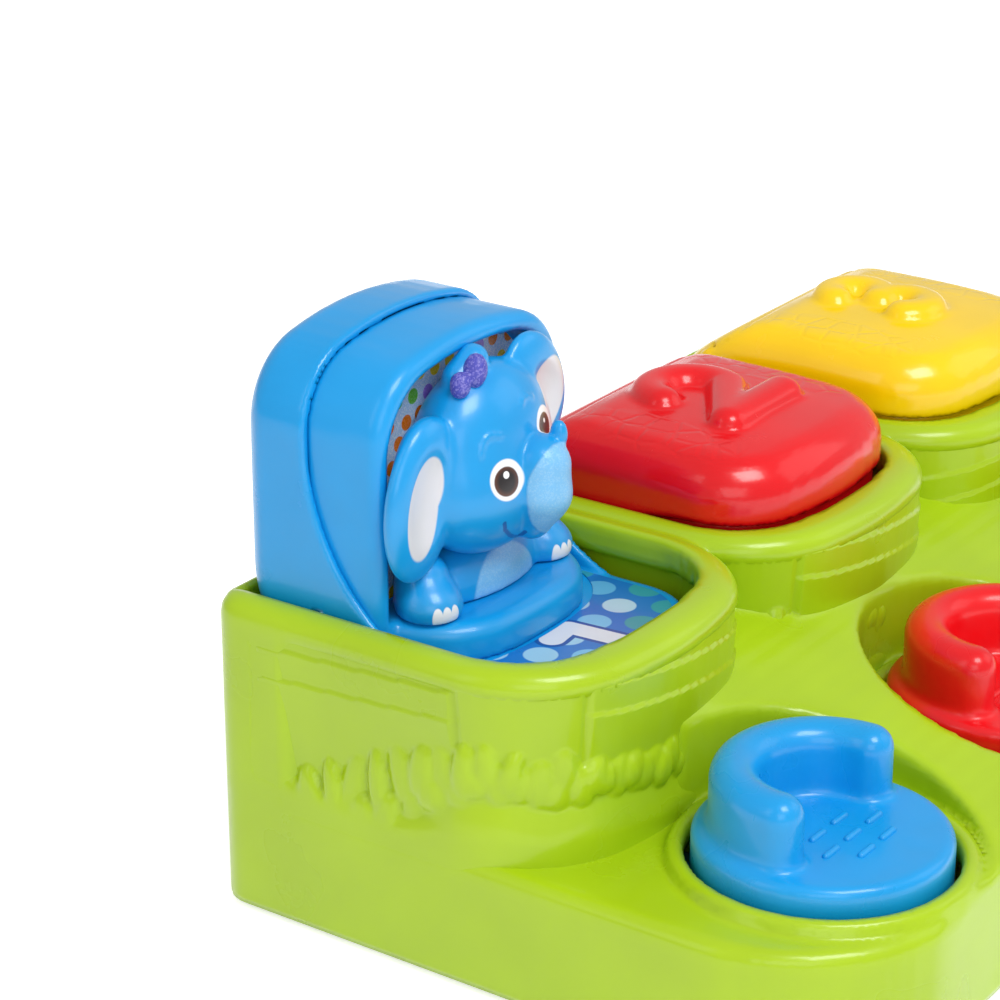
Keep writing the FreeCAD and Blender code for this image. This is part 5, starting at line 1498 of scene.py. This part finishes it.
FLOOR_HALF = 6.0
FLOOR_GLOW = 0.62
AIM = (0, 0, 0.08)
LIGHTS = (
    ("key", (0.7, 0.6), 13.5, (-0.35, -0.8, 1.45), AIM),
    ("side", (0.4, 1.0), 1.6, (-1.3, 0.5, 0.9), AIM),
    ("fill", (1.0, 0.8), 2.0, (0.9, -0.9, 0.9), AIM),
    ("front", (0.6, 0.5), 1.6, (-0.85, -0.62, 0.5), (-0.06, 0, 0.09)),
)
CAMERA_LENS = 108.0
CAMERA_SPOT = (-0.670277, -0.359062, 0.389078)
CAMERA_AXES = ((0.573576, -0.819152, 0.0), (0.306860, 0.214866, 0.927184), (-0.759505, -0.531811, 0.374607))


def floor_material():
    finish = Finish("studio_floor")
    light = finish.add("ShaderNodeLightPath").outputs
    seen = finish.math("MAXIMUM", light["Is Camera Ray"], light["Is Glossy Ray"])
    grain = finish.add("ShaderNodeTexNoise", {"Vector": finish.place, "Scale": 0.05, "Detail": 3.0})
    tone = finish.ramp(grain.outputs["Fac"], 0.3, 0.7, 0.985, 1.0)
    finish.close(finish.tone((0.93, 0.93, 0.93), tone), 0.9)
    finish.shader.inputs["Specular IOR Level"].default_value = 0.0
    finish.shader.inputs["Emission Color"].default_value = (1.0, 1.0, 1.0, 1.0)
    finish.wire(finish.shader.inputs["Emission Strength"], finish.times(seen, FLOOR_GLOW))
    return finish.material


def area_light(name, size, power, spot, aim):
    data = bpy.data.lights.new(name, "AREA")
    data.shape = "RECTANGLE"
    data.size = size[0]
    data.size_y = size[1]
    data.energy = power
    lamp = bpy.data.objects.new(name, data)
    lamp.location = spot
    lamp.rotation_euler = (Vector(aim) - Vector(spot)).to_track_quat("-Z", "Y").to_euler()
    bpy.context.scene.collection.objects.link(lamp)


class TOY_OT_stage(bpy.types.Operator):
    """Set the floor, the soft studio light and the camera"""

    bl_idname = "toy.stage"
    bl_label = "Stage"

    def execute(self, context):
        scene = context.scene
        scene.view_settings.view_transform = "Standard"
        world = bpy.data.worlds.new("studio")
        scene.world = world
        world.use_nodes = True
        graph = Graph(world.node_tree)
        graph.tree.nodes.clear()
        seen = graph.add("ShaderNodeLightPath").outputs["Is Camera Ray"]
        strength = graph.plus(0.55, graph.times(seen, 0.45))
        back = graph.add("ShaderNodeBackground", {"Color": (1.0, 1.0, 1.0, 1.0)})
        graph.wire(back.inputs["Strength"], strength)
        graph.add("ShaderNodeOutputWorld", {"Surface": back.outputs[0]})
        floor = bpy.data.meshes.new("floor")
        far = FLOOR_HALF
        floor.from_pydata([(-far, -far, 0), (far, -far, 0), (far, far, 0), (-far, far, 0)], [],
                          [(0, 1, 2, 3)])
        floor.materials.append(floor_material())
        ground = bpy.data.objects.new("floor", floor)
        scene.collection.objects.link(ground)
        for light in LIGHTS:
            area_light(*light)
        data = bpy.data.cameras.new("camera")
        data.lens = CAMERA_LENS
        data.sensor_width = 36.0
        data.clip_start = 0.01
        camera = bpy.data.objects.new("camera", data)
        turn = Matrix(CAMERA_AXES).transposed().to_4x4()
        camera.matrix_world = Matrix.Translation(CAMERA_SPOT) @ turn
        scene.collection.objects.link(camera)
        scene.camera = camera
        return {"FINISHED"}


# ---------------------------------------------------------------- panel and registration

STEPS = ("stage", "housing", "lids", "frames", "elephant", "bear", "lion", "prints", "pads", "hardware")


class TOY_PT_panel(bpy.types.Panel):
    """Lists the steps that build the toy"""

    bl_idname = "TOY_PT_panel"
    bl_label = "Pop-up toy"
    bl_space_type = "VIEW_3D"
    bl_region_type = "UI"
    bl_category = "Toy"

    def draw(self, context):
        for step in STEPS:
            self.layout.operator(f"toy.{step}")
        for group in (context.scene.toy_colours, context.scene.toy_sizes):
            for name in group.bl_rna.properties.keys():
                if name not in ("rna_type", "name"):
                    self.layout.prop(group, name)


CLASSES = (ToyColours, ToySizes, TOY_OT_stage, TOY_OT_housing, TOY_OT_lids, TOY_OT_frames, TOY_OT_elephant,
           TOY_OT_bear, TOY_OT_lion, TOY_OT_prints, TOY_OT_pads, TOY_OT_hardware, TOY_PT_panel)


def register():
    for item in CLASSES:
        bpy.utils.register_class(item)
    bpy.types.Scene.toy_colours = PointerProperty(type=ToyColours)
    bpy.types.Scene.toy_sizes = PointerProperty(type=ToySizes)


def unregister():
    del bpy.types.Scene.toy_sizes
    del bpy.types.Scene.toy_colours
    for item in reversed(CLASSES):
        bpy.utils.unregister_class(item)


def main():
    register()
    for step in STEPS:
        getattr(bpy.ops.toy, step)()


if __name__ == "__main__":
    main()
